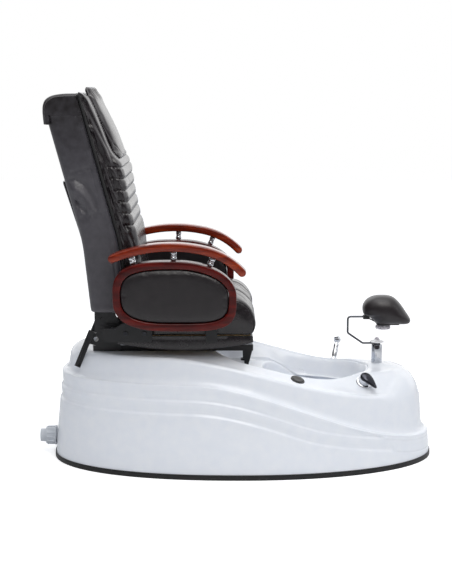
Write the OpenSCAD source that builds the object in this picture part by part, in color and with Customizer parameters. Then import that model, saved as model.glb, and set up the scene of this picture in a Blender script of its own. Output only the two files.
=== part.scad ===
/* [Base moulding] */
// Length of the base over its rubber edging
base_l = 1450; // [1380:10:1520]
// Width of the base over its rubber edging
base_w = 770; // [740:5:810]
// Wall of the moulded shell and basin
shell_t = 6; // [4:0.5:8]
// Inward lean of the skirt per unit of height
skirt_draft = 0.095; // [0.07:0.005:0.11]
// Height of the ledge at the rear
ledge_rear_z = 340; // [310:5:355]
// Height of the ledge at the nose
ledge_front_z = 100; // [90:5:130]
// Width of the ledge round the skirt
ledge_w = 26; // [18:1:32]
// Height of the deck under the chair
deck_rear_z = 432; // [420:2:450]
// Height of the deck's outer edge beside the nose
deck_front_z = 272; // [262:2:286]
// Height of the basin rim and the nose
rim_front_z = 340; // [330:2:352]
// Depth of the two stepped lines in the skirt
step_d = 6; // [2:0.5:7]
// Drop of the upper line below the ledge
line_drop_a = 60; // [50:2:70]
// Drop of the lower line below the ledge
line_drop_b = 108; // [96:2:120]
// Height of the rubber edging
trim_h = 20; // [14:1:26]
// Thickness of the rubber edging
trim_t = 3; // [2:0.5:5]

/* [Foot basin] */
// Middle line of the basin ahead of the base's rear end
basin_from_tail = 785; // [777:2:793]
// Reach of the basin behind its middle line
basin_rear = 175; // [165:1:185]
// Strip of deck between the basin and the nose
nose_strip = 245; // [240:1:258]
// Strip of deck and skirt beside the basin
side_strip = 145; // [139:1:157]
// Height of the shelf that carries the chair's front legs
shelf_z = 330; // [320:1:345]
// Height of the basin floor
floor_z = 125; // [118:1:150]
// Width of the step beside the footwell
side_step = 44; // [42:1:58]
// Outer radius of the drain pipe
pipe_r = 25.5; // [20:0.5:27]
// Height of the drain pipe's axis
pipe_z = 67; // [60:1:68]
// Reach of the drain pipe behind the base
pipe_reach = 58; // [40:1:80]

/* [Deck fittings] */
// Footrest post behind the nose
post_from_nose = 210; // [196:1:213]
// Radius of the footrest post
post_r = 20.5; // [18:0.5:24]
// Height of the footrest post's top
post_top_z = 424; // [415:1:440]
// Mixer tap behind the nose
mixer_from_nose = 279; // [273:1:287]
// Mixer tap inside the basin's right edge
mixer_in = 62; // [58:1:68]
// Radius of the mixer's ring
mixer_r = 30; // [26:0.5:32]
// Length of the mixer's lever
lever_l = 78; // [60:1:86]
// Jet button ahead of the basin's middle line
button_ahead = 134; // [120:1:150]
// Radius of the jet button
button_r = 20; // [16:0.5:21]
// Travel of the jet button
button_travel = 4; // [2:0.5:5]
// Spray handset behind the nose
spray_from_nose = 357; // [347:1:370]
// Radius of the spray handset's head
spray_head_r = 14.5; // [12:0.5:17]

/* [Footrest] */
// Diameter of the footrest's bent rod
rod_d = 7.5; // [6:0.5:10]
// Reach of the bent rod behind the post
rod_reach = 113; // [105:1:125]
// Height of the rod's upper end
rod_top_z = 531; // [525:1:545]
// Half width of the footrest pad
pad_half_w = 66; // [55:1:80]
// Radius of the clamp knob
knob_r = 28.5; // [22:0.5:30]

/* [Chair frame] */
// Sideways distance of the chair's rails from the centre line
rail_y = 150; // [144:1:156]
// Slide travel of the seat
slide_travel = 100; // [60:5:110]
// Height of the reclining pivot
pivot_z = 527; // [524:1:530]
// Reclining pivot ahead of the base's rear end
pivot_from_tail = 247; // [243:1:251]
// Radius of the reclining pivot pins
pivot_r = 8; // [6:0.5:10]

/* [Seat and arms] */
// Half width of the seat and backrest
seat_half_w = 270; // [262:1:276]
// Distance of the seat cover's two long seams from the middle line
seat_seam_y = 92; // [80:1:105]
// Crown of the seat cushion at its front
seat_top_z = 655; // [645:1:665]
// Front of the seat cushion ahead of the base's centre
seat_front = 46; // [40:1:52]
// Gap between the seat's side and an arm
arm_gap = 24.5; // [21:0.5:34]
// Width of the arm rails and rings
arm_w = 60; // [50:1:70]
// Radius under the long curve of the arm rails
arm_rail_r = 520; // [500:5:560]
// Radius under the front curve of the arm rails
arm_front_r = 250; // [235:1:265]
// Thickness of the arm rails
arm_rail_t = 29; // [24:0.5:32]
// Length of the posts between a ring and its rail
arm_post_l = 36; // [32:1:42]
// Radius of the balls on the arm posts
arm_ball_r = 12; // [9:0.5:13]
// Thickness of the wooden rings
ring_t = 27; // [22:1:32]

/* [Backrest] */
// Lean of the lower back from upright
lean_low = 6; // [4:0.5:7]
// Lean of the upper back from upright
lean_up = 15; // [12:0.5:17]
// Depth of the back casing
casing_d = 130; // [122:1:140]
// Wall of the back casing
casing_t = 10; // [6:1:12]
// Height of the casing's bottom edge
back_low_z = 595; // [590:1:600]
// Height of the casing's top edge
back_high_z = 1300; // [1292:1:1306]
// Height at which the back bends
back_bend_z = 848; // [840:1:860]
// Height of the lowest rib's groove on the front cushion
rib_low_z = 908; // [896:1:912]
// Pitch of the ribs on the front cushion
rib_pitch = 41.4; // [38:0.2:42]
// Height of the ribs on the front cushion
rib_h = 6; // [3:0.5:9]
// Travel of the massage carriage
massage_travel = 260; // [200:5:270]

/* [Hidden] */

gap = 0.3;
weld = 0.2;
run = 0.05;
$fn = 48;
origin_shift = pipe_reach / 2;

// The chair, board and pump keep their distance from the tail, the tap and post from the nose
chair_tail = 725;
chair_shift = chair_tail - base_l / 2;
pivot_back = chair_tail - pivot_from_tail;
basin_x = basin_from_tail - base_l / 2;
basin_front = base_l / 2 - nose_strip - basin_x;
basin_half_w = base_w / 2 - side_strip;
well_shelf = 14;
well_lip = 46;
well_half_l = (basin_front - well_shelf - well_lip) / 2;
well_x = basin_x + well_shelf + well_half_l;
well_half_w = basin_half_w - side_step;
post_x = base_l / 2 - post_from_nose;
mixer_x = base_l / 2 - mixer_from_nose;
mixer_y = -(basin_half_w - mixer_in);
spray_x = base_l / 2 - spray_from_nose;
spray_y = basin_half_w - 40;
button_x = basin_x + button_ahead;
button_y = -(basin_half_w * 0.94 + 36);

// ---- curves and lofts ----
function lerp(a, b, t) = a + (b - a) * t;
function smooth(t) = let (c = min(1, max(0, t))) c * c * (3 - 2 * c);
function signed_pow(v, e) = sign(v) * pow(abs(v), e);
function unit_oval(a, n) = [signed_pow(cos(a), 2 / n), signed_pow(sin(a), 2 / n)];
// Straight line that starts to climb at zero, with a soft bend of half length r
function bend(d, r) = d < -r ? 0 : d > r ? d : (d + r) * (d + r) / (4 * r);
// Height read from a list of [place, value] points
function along(points, p) =
    let (last = len(points) - 1)
    p <= points[0][0] ? points[0][1] :
    p >= points[last][0] ? points[last][1] :
    let (k = [for (i = [0:last - 1]) if (p >= points[i][0] && p < points[i + 1][0]) i][0])
    lerp(points[k][1], points[k + 1][1],
        (p - points[k][0]) / (points[k + 1][0] - points[k][0]));

function flat(lists) = [for (l = lists) for (v = l) v];
function centre_of(ring) =
    [for (k = [0:2]) let (c = [for (p = ring) p[k]]) (min(c) + max(c)) / 2];

// Skin over rings of equal length. Ends are "fan" (closed on a centre point),
// "strip" (closed across a slender loop) or "loop" (last ring joins the first).
module skin(rings, ends = "fan") {
    n = len(rings[0]);
    m = len(rings);
    last = ends == "loop" ? m : m - 1;
    walls = [for (i = [0:last - 1]) for (j = [0:n - 1])
        let (a = i * n + j, b = i * n + (j + 1) % n,
            c = ((i + 1) % m) * n + j, d = ((i + 1) % m) * n + (j + 1) % n)
        each [[a, b, d], [a, d, c]]];
    hubs = ends == "fan" ? [centre_of(rings[0]), centre_of(rings[m - 1])] : [];
    fan_caps = ends != "fan" ? [] : [for (j = [0:n - 1])
        let (k = (j + 1) % n, t = (m - 1) * n)
        each [[m * n, k, j], [m * n + 1, t + j, t + k]]];
    strip_caps = ends != "strip" ? [] : [for (j = [0:n / 2 - 2])
        let (p = j, q = j + 1, r = n - 2 - j, s = n - 1 - j, t = (m - 1) * n)
        each [[p, s, r], [p, r, q], [t + p, t + r, t + s], [t + p, t + q, t + r]]];
    polyhedron(concat(flat(rings), hubs), concat(walls, fan_caps, strip_caps), convexity = 10);
}

module both_sides() {
    children();
    mirror([0, 1, 0]) children();
}

// Bar with a rectangular section between two points in the XZ plane
module plane_bar(a, b, thick, y0, y1) {
    d = b - a;
    translate([a[0], y0, a[1]])
        rotate([0, -atan2(d[1], d[0]), 0])
            translate([0, 0, -thick / 2]) cube([norm(d), y1 - y0, thick]);
}

// Round bar between two points
module round_bar(a, b, r) {
    d = b - a;
    translate(a)
        rotate([0, acos(d[2] / norm(d)), atan2(d[1], d[0])]) cylinder(h = norm(d), r = r);
}

// Outline in XZ pushed through Y
module xz_extrude(y0, y1) {
    translate([0, y1, 0]) rotate([90, 0, 0]) linear_extrude(y1 - y0) children();
}

module rounded_square(size, r) {
    translate([r, 0]) square([size[0] - 2 * r, size[1]]);
    translate([0, r]) square([size[0], size[1] - 2 * r]);
    for (x = [r, size[0] - r]) for (y = [r, size[1] - r]) translate([x, y]) circle(r);
}

// ---- base moulding: sizes and surface ----
base_n = 72;
half_l = base_l / 2 - trim_t;
half_w = base_w / 2 - trim_t;
shell_z = 4 + gap;
nose_oval = 2.05;
tail_oval = 2.25;
fillet_side = [15, 16];
fillet_nose = [92, 150];
fillet_tail = [37, 45];

function base_unit(i) =
    let (a = 360 * i / base_n) unit_oval(a, cos(a) > 0 ? nose_oval : tail_oval);
function skirt_in(z) = skirt_draft * max(0, z - trim_h);
function ledge_z(x) = lerp(ledge_rear_z, ledge_front_z, smooth((x / base_l + 0.14) / 0.66));
function edge_z(x) = lerp(deck_rear_z, deck_front_z, smooth((x / base_l + 0.21) / 0.6));
function rim_z(x) = lerp(deck_rear_z, rim_front_z, smooth((x / base_l + 0.083) / 0.36));
function line_fade(x, keep) = lerp(1, keep, smooth((x / base_l - 0.14) / 0.24));
function line_a(x) = ledge_z(x) - line_drop_a * line_fade(x, 0.35);
function line_b(x) = ledge_z(x) - line_drop_b * line_fade(x, 0.6);
function line_depth(x, stop) = step_d * (1 - smooth((x / base_l - stop) / 0.02));

// Half width of the deck at x, used to place its crown
function deck_half_w(x) =
    (half_w - 60) * pow(max(0.02, 1 - pow(abs(x) / (half_l - 60), 2.1)), 1 / 2.1);
function post_mound(x, y) = 16 * exp(-(pow(x - post_x, 2) + y * y) / 2000);
function deck_z(x, y) =
    lerp(rim_z(x), edge_z(x), smooth((abs(y) / deck_half_w(x) - 0.5) / 0.5))
    + post_mound(x, y);

function skirt_point(u, inset, z) = [(half_l - inset) * u[0], (half_w - inset) * u[1], z];
function hole_point(u, off) =
    [basin_x + ((u[0] > 0 ? basin_front : basin_rear) + off) * u[0],
        (basin_half_w + off) * u[1]];
function hole_unit(i) =
    let (a = 360 * i / base_n) unit_oval(a, cos(a) > 0 ? 2.1 : 3.2);
function fillet(u) =
    u[0] > 0 ? lerp(fillet_side, fillet_nose, smooth((u[0] - 0.72) / 0.28))
             : lerp(fillet_side, fillet_tail, smooth((-u[0] - 0.6) / 0.4));

// Points of the moulding's section at one angle, outside from floor to basin, then inside.
// Each stepped line stands proud below and falls back above, flush again at the next.
function base_section(i) =
    let (u = base_unit(i), h = hole_unit(i), t = shell_t,
        x = 0.97 * half_l * u[0],
        lz = ledge_z(x), la = line_a(x), lb = line_b(x),
        da = line_depth(x, 0.34), db = line_depth(x, 0.368),
        step = skirt_in(lz), wall = step + ledge_w, f = fillet(u),
        top = wall + 4 + f[0],
        edge = skirt_point(u, top, 0),
        ez = deck_z(edge[0], edge[1]), wz = ez - f[1],
        rise = min(ledge_w, 0.6 * (wz - lz)),
        lip = hole_point(h, 12), rim = hole_point(h, 0), hem = hole_point(h, t),
        rz = deck_z(rim[0], rim[1]))
    [
        skirt_point(u, 0, shell_z),
        skirt_point(u, skirt_in(lb - 3.5), lb - 3.5),
        skirt_point(u, skirt_in(lb) + 0.72 * db, lb + 2),
        skirt_point(u, skirt_in(lb) + db, lb + 6),
        skirt_point(u, skirt_in(la - 3.5), la - 3.5),
        skirt_point(u, skirt_in(la) + 0.72 * da, la + 2),
        skirt_point(u, skirt_in(la) + da, la + 6),
        skirt_point(u, skirt_in(lz - 7), lz - 7),
        skirt_point(u, step + 3, lz - 1),
        for (a = [0, 35, 65, 90])
            skirt_point(u, step + 6 + (ledge_w - 6) * sin(a), lz + rise * (1 - cos(a))),
        skirt_point(u, wall + 4, wz),
        for (a = [30, 60]) skirt_point(u, wall + 4 + f[0] * (1 - cos(a)), wz + f[1] * sin(a)),
        [edge[0], edge[1], ez],
        for (s = [0.35, 0.7]) let (q = lerp([edge[0], edge[1]], lip, s))
            [q[0], q[1], deck_z(q[0], q[1])],
        [lip[0], lip[1], deck_z(lip[0], lip[1])],
        [rim[0], rim[1], rz - 9],
        [rim[0], rim[1], rz - 24],
        [hem[0], hem[1], rz - 24],
        let (q = hole_point(h, 14)) [q[0], q[1], deck_z(q[0], q[1]) - t - 1],
        let (q = lerp([edge[0], edge[1]], lip, 0.35)) [q[0], q[1], deck_z(q[0], q[1]) - t],
        skirt_point(u, top, ez - t),
        skirt_point(u, wall + 4 + t, wz - t / 2),
        skirt_point(u, wall + t, lz + 2),
        skirt_point(u, step + t + 5, lz - t),
        skirt_point(u, skirt_in(lb) + t + db, lb),
        skirt_point(u, t, shell_z)
    ];

// Puts children on the deck at x, y, with Z along the deck's normal
function deck_slope(x, y) = [
    (deck_z(x + 4, y) - deck_z(x - 4, y)) / 8,
    (deck_z(x, y + 4) - deck_z(x, y - 4)) / 8];
function deck_tilt(x, y) = let (s = deck_slope(x, y), n = [-s[0], -s[1], 1] / norm([s[0], s[1], 1]))
    [asin(-n[1]), atan2(n[0], n[2]), 0];
module on_deck(x, y) {
    translate([x, y, deck_z(x, y)]) rotate(deck_tilt(x, y)) children();
}

spot_d = 2.5;
valve_hole_r = 19;
sleeve_r = button_r + 2.5;
shank_r = 9;
post_shank_r = 12;

module base_shell() {
    sections = [for (i = [0:base_n - 1]) base_section(i)];
    rings = [for (k = [0:len(sections[0]) - 1]) [for (s = sections) s[k]]];
    color("white") difference() {
        skin(rings, "loop");
        on_deck(mixer_x, mixer_y) {
            translate([0, 0, -spot_d]) cylinder(h = 30, r = mixer_r + gap);
            translate([0, 0, -40]) cylinder(h = 60, r = valve_hole_r + gap);
        }
        on_deck(button_x, button_y) {
            translate([0, 0, -spot_d]) cylinder(h = 20, r = sleeve_r + 4 + gap);
            translate([0, 0, -20]) cylinder(h = 30, r = sleeve_r + gap);
        }
        on_deck(spray_x, spray_y) {
            translate([0, 0, -spot_d]) cylinder(h = 20, r = 18 + gap);
            translate([0, 0, -20]) cylinder(h = 30, r = shank_r + gap);
        }
        translate([post_x, 0, post_seat_z]) cylinder(h = 30, r = post_r + 4);
        translate([post_x, 0, post_seat_z - 40]) cylinder(h = 60, r = post_shank_r + gap);
        translate([-half_l - 20, 0, pipe_z]) rotate([0, 90, 0])
            cylinder(h = 80, r = pipe_r + 1);
    }
}

// ---- foot basin ----
wall_lean = 15;
function well_point(i, off, z) =
    let (a = 360 * i / base_n, u = unit_oval(a, 3))
    [well_x + (well_half_l + off) * u[0],
        (well_half_w + off) * u[1] * lerp(1, 0.9, smooth(u[0])), z];
function step_z(x) = lerp(shelf_z, shelf_z - 70, smooth((x - basin_x - 30) / 150));
function tub_point(i, off, drop) =
    let (p = hole_point(hole_unit(i), off), r = hole_point(hole_unit(i), 0))
    [p[0], p[1], deck_z(r[0], r[1]) - drop];
function step_point(i, off, rise) =
    let (p = hole_point(hole_unit(i), off)) [p[0], p[1], step_z(p[0]) + rise];
function basin_section(i) =
    let (t = shell_t, s = step_z(well_point(i, 0, 0)[0]), w = wall_lean)
    [
        well_point(i, -58, floor_z - t),
        well_point(i, -w - 22, floor_z + 6 - t),
        well_point(i, -w, floor_z + 26),
        well_point(i, -w / 6, s - 40),
        well_point(i, 1, s - t - 4),
        step_point(i, -32, -t),
        step_point(i, -20, 8 - t),
        tub_point(i, -gap, 27),
        tub_point(i, -gap, 10),
        tub_point(i, -gap - t, 10),
        step_point(i, -24 - t / 2, 14),
        step_point(i, -34, 0),
        well_point(i, 0, s),
        well_point(i, -t, s - 12),
        well_point(i, -w - t, floor_z + 30),
        well_point(i, -w - t - 16, floor_z + 6),
        well_point(i, -60, floor_z)
    ];

drain_x = well_x;
jet_z = floor_z + 45;
jet_x = well_x - well_half_l + wall_lean + shell_t - 2;
jet_lean = atan(wall_lean / (shelf_z - floor_z - 50));
jet_hole_r = 26;
module at_jet() {
    translate([jet_x, 0, jet_z]) rotate([0, 90 - jet_lean, 0]) children();
}

module foot_basin() {
    sections = [for (i = [0:base_n - 1]) basin_section(i)];
    rings = [for (k = [0:len(sections[0]) - 1]) [for (s = sections) s[k]]];
    color("white") difference() {
        skin(rings);
        translate([drain_x, 0, floor_z - 30]) cylinder(h = 60, r = pipe_r - 1.5 + gap);
        at_jet() {
            translate([0, 0, -40]) cylinder(h = 80, r = jet_hole_r + gap);
            translate([0, 0, 2 - gap]) cylinder(h = 20, r = jet_hole_r + 14 + gap);
        }
    }
}

// ---- rubber edging ----
function base_outline(out) =
    [for (i = [0:base_n - 1]) let (u = base_unit(i)) [(half_l + out) * u[0], (half_w + out) * u[1]]];
module base_trim() {
    color([0.1, 0.1, 0.1]) difference() {
        linear_extrude(trim_h) polygon(base_outline(trim_t));
        translate([0, 0, shell_z - gap]) linear_extrude(trim_h) polygon(base_outline(gap));
        translate([0, 0, -1]) linear_extrude(trim_h) polygon(base_outline(-14));
    }
}

// ---- inner steel frame and board ----
board_t = 18;
board_x = [-565, -300];
board_half_w = base_w / 2 - 185;
board_cut = [100, 80];
board_top_z = deck_rear_z - shell_t - 1.5;
skid_y = board_half_w - 15;
skid_w = 30;
skid_x = [-565, -65];
skid_z = [36, 96];
upright_x = [-515, -330];
beam_h = 30;
tray_x = [-470, -240];
tray_t = 5;
foot_r = 22;

// Square tube of the given size, open along one way: 0 for X, 1 for Y, 2 for Z
module box_tube(size, way, wall = 2.5) {
    hollow = [for (k = [0:2]) k == way ? size[k] + 2 : size[k] - 2 * wall];
    from = [for (k = [0:2]) k == way ? -1 : wall];
    difference() {
        cube(size);
        translate(from) cube(hollow);
    }
}

module platform_board() {
    narrow = board_half_w - board_cut[1];
    wide_x = board_x[0] + board_cut[0];
    color("burlywood") translate([0, 0, board_top_z - board_t]) linear_extrude(board_t)
        polygon([[board_x[0], -narrow], [wide_x, -board_half_w], [board_x[1], -board_half_w],
            [board_x[1], board_half_w], [wide_x, board_half_w], [board_x[0], narrow]]);
}

module base_frame() {
    beam_z = board_top_z - board_t - gap - beam_h;
    color("dimgray") {
        both_sides() {
            translate([skid_x[0], skid_y - skid_w / 2, skid_z[0]])
                box_tube([skid_x[1] - skid_x[0], skid_w, skid_z[1] - skid_z[0]], 0);
            for (x = upright_x) translate([x, skid_y - skid_w / 2, skid_z[1] + weld])
                box_tube([skid_w, skid_w, beam_z - skid_z[1] - 2 * weld], 2);
        }
        for (x = upright_x) translate([x, -skid_y - skid_w / 2, beam_z])
            box_tube([skid_w, 2 * skid_y + skid_w, beam_h], 1);
        difference() {
            translate([tray_x[0], -skid_y - skid_w / 2, skid_z[1] + weld])
                cube([tray_x[1] - tray_x[0] - 1, 2 * skid_y + skid_w, tray_t]);
            both_sides() translate([upright_x[1] - weld, skid_y - skid_w / 2 - weld, skid_z[1]])
                cube([skid_w + 2 * weld, skid_w + 2 * weld, 2 * tray_t]);
        }
    }
}

module levelling_feet() {
    color("black") both_sides() for (x = [skid_x[0] + 35, skid_x[1] - 45])
        translate([x, skid_y, 0]) {
            cylinder(h = 10, r = foot_r);
            cylinder(h = skid_z[0] - weld, r = 6);
        }
}

// ---- jet pump, jet and drain ----
pump_r = 52;
pump_z = jet_z;
pump_x = [-440, -262];
volute_l = 46;
module jet_pump() {
    tray_z = skid_z[1] + weld + tray_t;
    color("slategray") {
        translate([pump_x[0], 0, pump_z]) rotate([0, 90, 0])
            cylinder(h = pump_x[1] - pump_x[0], r = pump_r);
        for (k = [1:5]) translate([pump_x[0] + 24 * k, 0, pump_z]) rotate([0, 90, 0])
            cylinder(h = 6, r = pump_r + 5);
        translate([pump_x[1], 0, pump_z]) rotate([0, 90, 0])
            cylinder(h = volute_l, r = pump_r + 8);
        for (x = [pump_x[0] + 30, pump_x[1] - 40]) translate([x, -40, tray_z + weld])
            cube([20, 80, pump_z - tray_z - pump_r / 2]);
    }
}

module pump_pipe() {
    from_x = pump_x[1] + chair_shift + volute_l + weld;
    color("whitesmoke") translate([from_x, 0, jet_z]) rotate([0, 90, 0]) difference() {
        cylinder(h = jet_x - 40 - from_x, r = 20);
        translate([0, 0, -1]) cylinder(h = jet_x - 38 - from_x, r = 17);
    }
}

module jet_housing() {
    color("silver") at_jet() difference() {
        union() {
            translate([0, 0, 2]) cylinder(h = 5, r = jet_hole_r + 14);
            translate([0, 0, -30]) cylinder(h = 33, r = jet_hole_r);
        }
        translate([0, 0, -24]) cylinder(h = 40, r = jet_hole_r - 8);
    }
}

module drain_strainer() {
    r = pipe_r - 1.5;
    color("silver") translate([drain_x, 0, 0]) difference() {
        union() {
            translate([0, 0, floor_z + gap]) cylinder(h = 3, r = r + 12);
            translate([0, 0, pipe_z + 35 + gap]) cylinder(h = floor_z - pipe_z - 34, r = r);
        }
        translate([0, 0, pipe_z]) cylinder(h = floor_z - pipe_z, r = r - 4);
        for (a = [0:60:300]) rotate(a) translate([12, 0, floor_z - 2])
            cylinder(h = 8, r = 3.5);
        translate([0, 0, floor_z - 2]) cylinder(h = 8, r = 3.5);
    }
}

spigot_l = 18;
module drain_pipe() {
    tail_x = -(base_l / 2 + pipe_reach);
    color("whitesmoke") difference() {
        union() {
            translate([drain_x, 0, pipe_z + 35]) rotate([90, 0, 0]) rotate([0, 0, 180])
                translate([35, 0, 0]) rotate([0, 0, 90])
                    rotate_extrude(angle = 90) translate([35, 0]) circle(pipe_r);
            translate([tail_x + spigot_l, 0, pipe_z]) rotate([0, 90, 0])
                cylinder(h = drain_x - 35 - tail_x - spigot_l, r = pipe_r);
            translate([tail_x, 0, pipe_z]) rotate([0, 90, 0])
                cylinder(h = spigot_l + 1, r = pipe_r - 0.5);
        }
        translate([tail_x - 1, 0, pipe_z]) rotate([0, 90, 0])
            cylinder(h = drain_x - 60 - tail_x, r = pipe_r - 3.5);
    }
}

module drain_union() {
    r = pipe_r + 12;
    len_nut = min(40, pipe_reach - 14);
    color("lightgray") translate([-half_l + skirt_in(pipe_z - r) - len_nut - gap, 0, pipe_z])
        rotate([0, 90, 0]) difference() {
            union() {
                cylinder(h = len_nut, r = r - 4);
                for (a = [0:30:330]) rotate(a) translate([r - 5.6, 0, 5])
                    cylinder(h = len_nut - 10, r = 5);
                translate([0, 0, len_nut - 6]) cylinder(h = 6, r = r);
            }
            translate([0, 0, -1]) cylinder(h = len_nut + 2, r = pipe_r + gap);
        }
}

// ---- mixer tap, button and spray handset ----
valve_r = 18;
mixer_body_r = mixer_r - 8;
mixer_body_h = 26;
mixer_turn = -38;
lug_w = 7;
pin_r = 2.5;
lever_pivot = [-mixer_body_r + 4, mixer_body_h + 5.5];

module mixer_ring() {
    color("silver") on_deck(mixer_x, mixer_y) translate([0, 0, -spot_d + gap]) difference() {
        union() {
            cylinder(h = 4, r = mixer_r);
            cylinder(h = 7, r1 = mixer_r, r2 = mixer_r - 4);
            translate([0, 0, -16]) cylinder(h = 17, r = valve_hole_r);
        }
        translate([0, 0, -20]) cylinder(h = 40, r = valve_r - 2 + run);
    }
}

module mixer_valve() {
    color("goldenrod") on_deck(mixer_x, mixer_y) {
        translate([0, 0, -62]) cylinder(h = 40, r = 17);
        for (s = [-1, 1]) translate([0, s * 9.5, -92]) cylinder(h = 31, r = 6);
        for (s = [-1, 1]) translate([0, s * 9.5, -94]) cylinder(h = 20, r = 8);
    }
}

module mixer_body() {
    color("silver") on_deck(mixer_x, mixer_y) rotate([0, 0, mixer_turn]) {
        translate([0, 0, 5]) cylinder(h = mixer_body_h - 5, r = mixer_body_r);
        translate([0, 0, -21.5]) cylinder(h = 28, r = valve_r - 2);
        translate([lever_pivot[0] - 3.5, -lug_w / 2, mixer_body_h - 1])
            cube([7, lug_w, 5]);
        translate([lever_pivot[0], 0, lever_pivot[1]]) rotate([90, 0, 0])
            cylinder(h = lug_w, r = 3.5, center = true);
        translate([lever_pivot[0], 0, lever_pivot[1]]) rotate([90, 0, 0])
            cylinder(h = 26, r = pin_r, center = true);
    }
}

module mixer_lever() {
    r = mixer_body_r;
    tip = lever_l - r;
    color("silver") on_deck(mixer_x, mixer_y) rotate([0, 0, mixer_turn])
        translate([0, 0, mixer_body_h + 1.5]) difference() {
            union() {
                cylinder(h = 8, r = r);
                translate([0, 0, 8]) cylinder(h = 3, r1 = r, r2 = r - 6);
                translate([0, 0, 1]) rotate([0, 6, 0]) linear_extrude(8)
                    polygon([[-3, -r + 1.5], [r, -r + 4], [tip - 6, -8], [tip, -3],
                        [tip, 3], [tip - 6, 8], [r, r - 4], [-3, r - 1.5]]);
            }
            translate([-r - 1, -lug_w / 2 - gap, -2]) cube([r - 6, lug_w + 2 * gap, 20]);
            translate([lever_pivot[0], 0, lever_pivot[1] - mixer_body_h - 1.5])
                rotate([90, 0, 0]) cylinder(h = 27, r = pin_r + run, center = true);
            translate([-r - 1, -r, -3]) cube([6, 2 * r, 4]);
        }
}

module button_bezel() {
    color([0.12, 0.12, 0.12]) on_deck(button_x, button_y) difference() {
        union() {
            translate([0, 0, -spot_d + gap]) cylinder(h = 5, r = sleeve_r + 4);
            translate([0, 0, -26]) cylinder(h = 26, r = sleeve_r);
        }
        translate([0, 0, -24]) cylinder(h = 40, r = button_r + run);
    }
}

module jet_button() {
    color([0.06, 0.06, 0.06]) on_deck(button_x, button_y) {
        translate([0, 0, -8]) cylinder(h = 11, r = button_r);
        translate([0, 0, 3]) cylinder(h = 1.5, r1 = button_r, r2 = button_r - 3);
    }
}

module button_bellows() {
    color([0.2, 0.2, 0.2]) on_deck(button_x, button_y)
        translate([0, 0, -24 + run]) cylinder(h = 15 - button_travel, r = button_r - 4);
}

holder_top = 12;
handset_z = 3;
module spray_holder() {
    color("silver") translate([0, 0, 0]) on_deck(spray_x, spray_y) difference() {
        union() {
            translate([0, 0, -spot_d + gap]) cylinder(h = 6, r = 18);
            cylinder(h = holder_top, r1 = 14, r2 = 11);
            translate([0, 0, -26]) cylinder(h = 26, r = shank_r);
        }
        translate([0, 0, -10]) cylinder(h = 40, r = 6.5);
    }
}

module spray_handset() {
    color("silver") on_deck(spray_x, spray_y) {
        translate([0, 0, -8]) cylinder(h = 24, r = 6.5 - gap);
        translate([0, 0, holder_top + gap]) rotate_extrude()
            polygon([[0, 0], [9, 0], [11, 8], [10, 30], [8.5, 52], [9, 66], [0, 66]]);
        translate([0, 0, holder_top + 64 + spray_head_r * 0.7]) rotate([0, 30, 200]) {
            sphere(r = spray_head_r);
            translate([0, 0, spray_head_r * 0.35])
                cylinder(h = spray_head_r * 0.85, r1 = spray_head_r * 0.9, r2 = spray_head_r * 0.8);
        }
    }
}

// ---- footrest ----
post_seat_z = rim_z(post_x) + 12;
pin_bore_r = 6;
collar_r = 27.5;
eye_z = post_top_z + gap + rod_d / 2;
clamp_x = [-54, -30];
module footrest_post() {
    color("silver") translate([post_x, 0, 0]) difference() {
        union() {
            translate([0, 0, post_seat_z + gap])
                cylinder(h = post_top_z - post_seat_z - gap, r = post_r);
            translate([0, 0, post_seat_z - 44]) cylinder(h = 46, r = post_shank_r);
        }
        translate([0, 0, post_top_z - 46]) cylinder(h = 60, r = pin_bore_r + run);
    }
}

module post_nut() {
    color("silver") translate([post_x, 0, post_seat_z - 38]) difference() {
        cylinder(h = 12, r = 22, $fn = 6);
        translate([0, 0, -1]) cylinder(h = 14, r = post_shank_r + run);
    }
}

module footrest_collar() {
    z = eye_z + rod_d / 2;
    color("whitesmoke") translate([post_x, 0, 0]) {
        translate([0, 0, z]) cylinder(h = 4, r = collar_r);
        translate([0, 0, z + 4]) cylinder(h = 6, r1 = collar_r, r2 = 13);
        translate([0, 0, z + 9]) intersection() {
            sphere(r = 10);
            translate([-12, -12, 0]) cube([24, 24, 12]);
        }
        translate([0, 0, post_top_z - 40]) cylinder(h = z + 1 - post_top_z + 40, r = pin_bore_r);
    }
}

module footrest_rod() {
    r = rod_d / 2;
    x0 = post_x - 55;
    x1 = post_x - rod_reach;
    path = [[post_x - 12, 0, eye_z], [x0, 0, eye_z], [x1, 0, eye_z + 40],
        [x1, 0, rod_top_z], [post_x + clamp_x[1] + 4, 0, rod_top_z]];
    color("silver") {
        for (k = [0:3]) round_bar(path[k], path[k + 1], r);
        for (k = [1:3]) translate(path[k]) sphere(r = r + gap);
        translate([post_x, 0, eye_z - r]) difference() {
            cylinder(h = rod_d, r = 14);
            translate([0, 0, -1]) cylinder(h = rod_d + 2, r = pin_bore_r + run);
        }
    }
}

pad_x = post_x + 34;
pad_low_z = rod_top_z - 24;
// Side outline of the pad, measured from its hinge on the rod
pad_side = [[-60, 16], [-57, 34], [-44, 54], [-14, 71], [30, 83], [52, 79], [84, 56],
    [112, 21], [128, -10], [126, -21], [114, -25.5], [80, -24.5], [26, -24.5],
    [-4, -16], [-28, 7.5], [-52, 9]];
pad_mid = [34, 18];
module footrest_pad() {
    stations = [for (k = [-6:6]) let (s = k / 6) [s * pad_half_w, pow(1 - pow(abs(s), 2.6), 0.42)]];
    rings = [for (s = stations) [for (p = pad_side)
        let (q = lerp(pad_mid, p, max(0.12, s[1])))
        [post_x + q[0], s[0], rod_top_z + max(q[1], -25.5)]]];
    color([0.13, 0.12, 0.12]) skin(rings);
}

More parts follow.
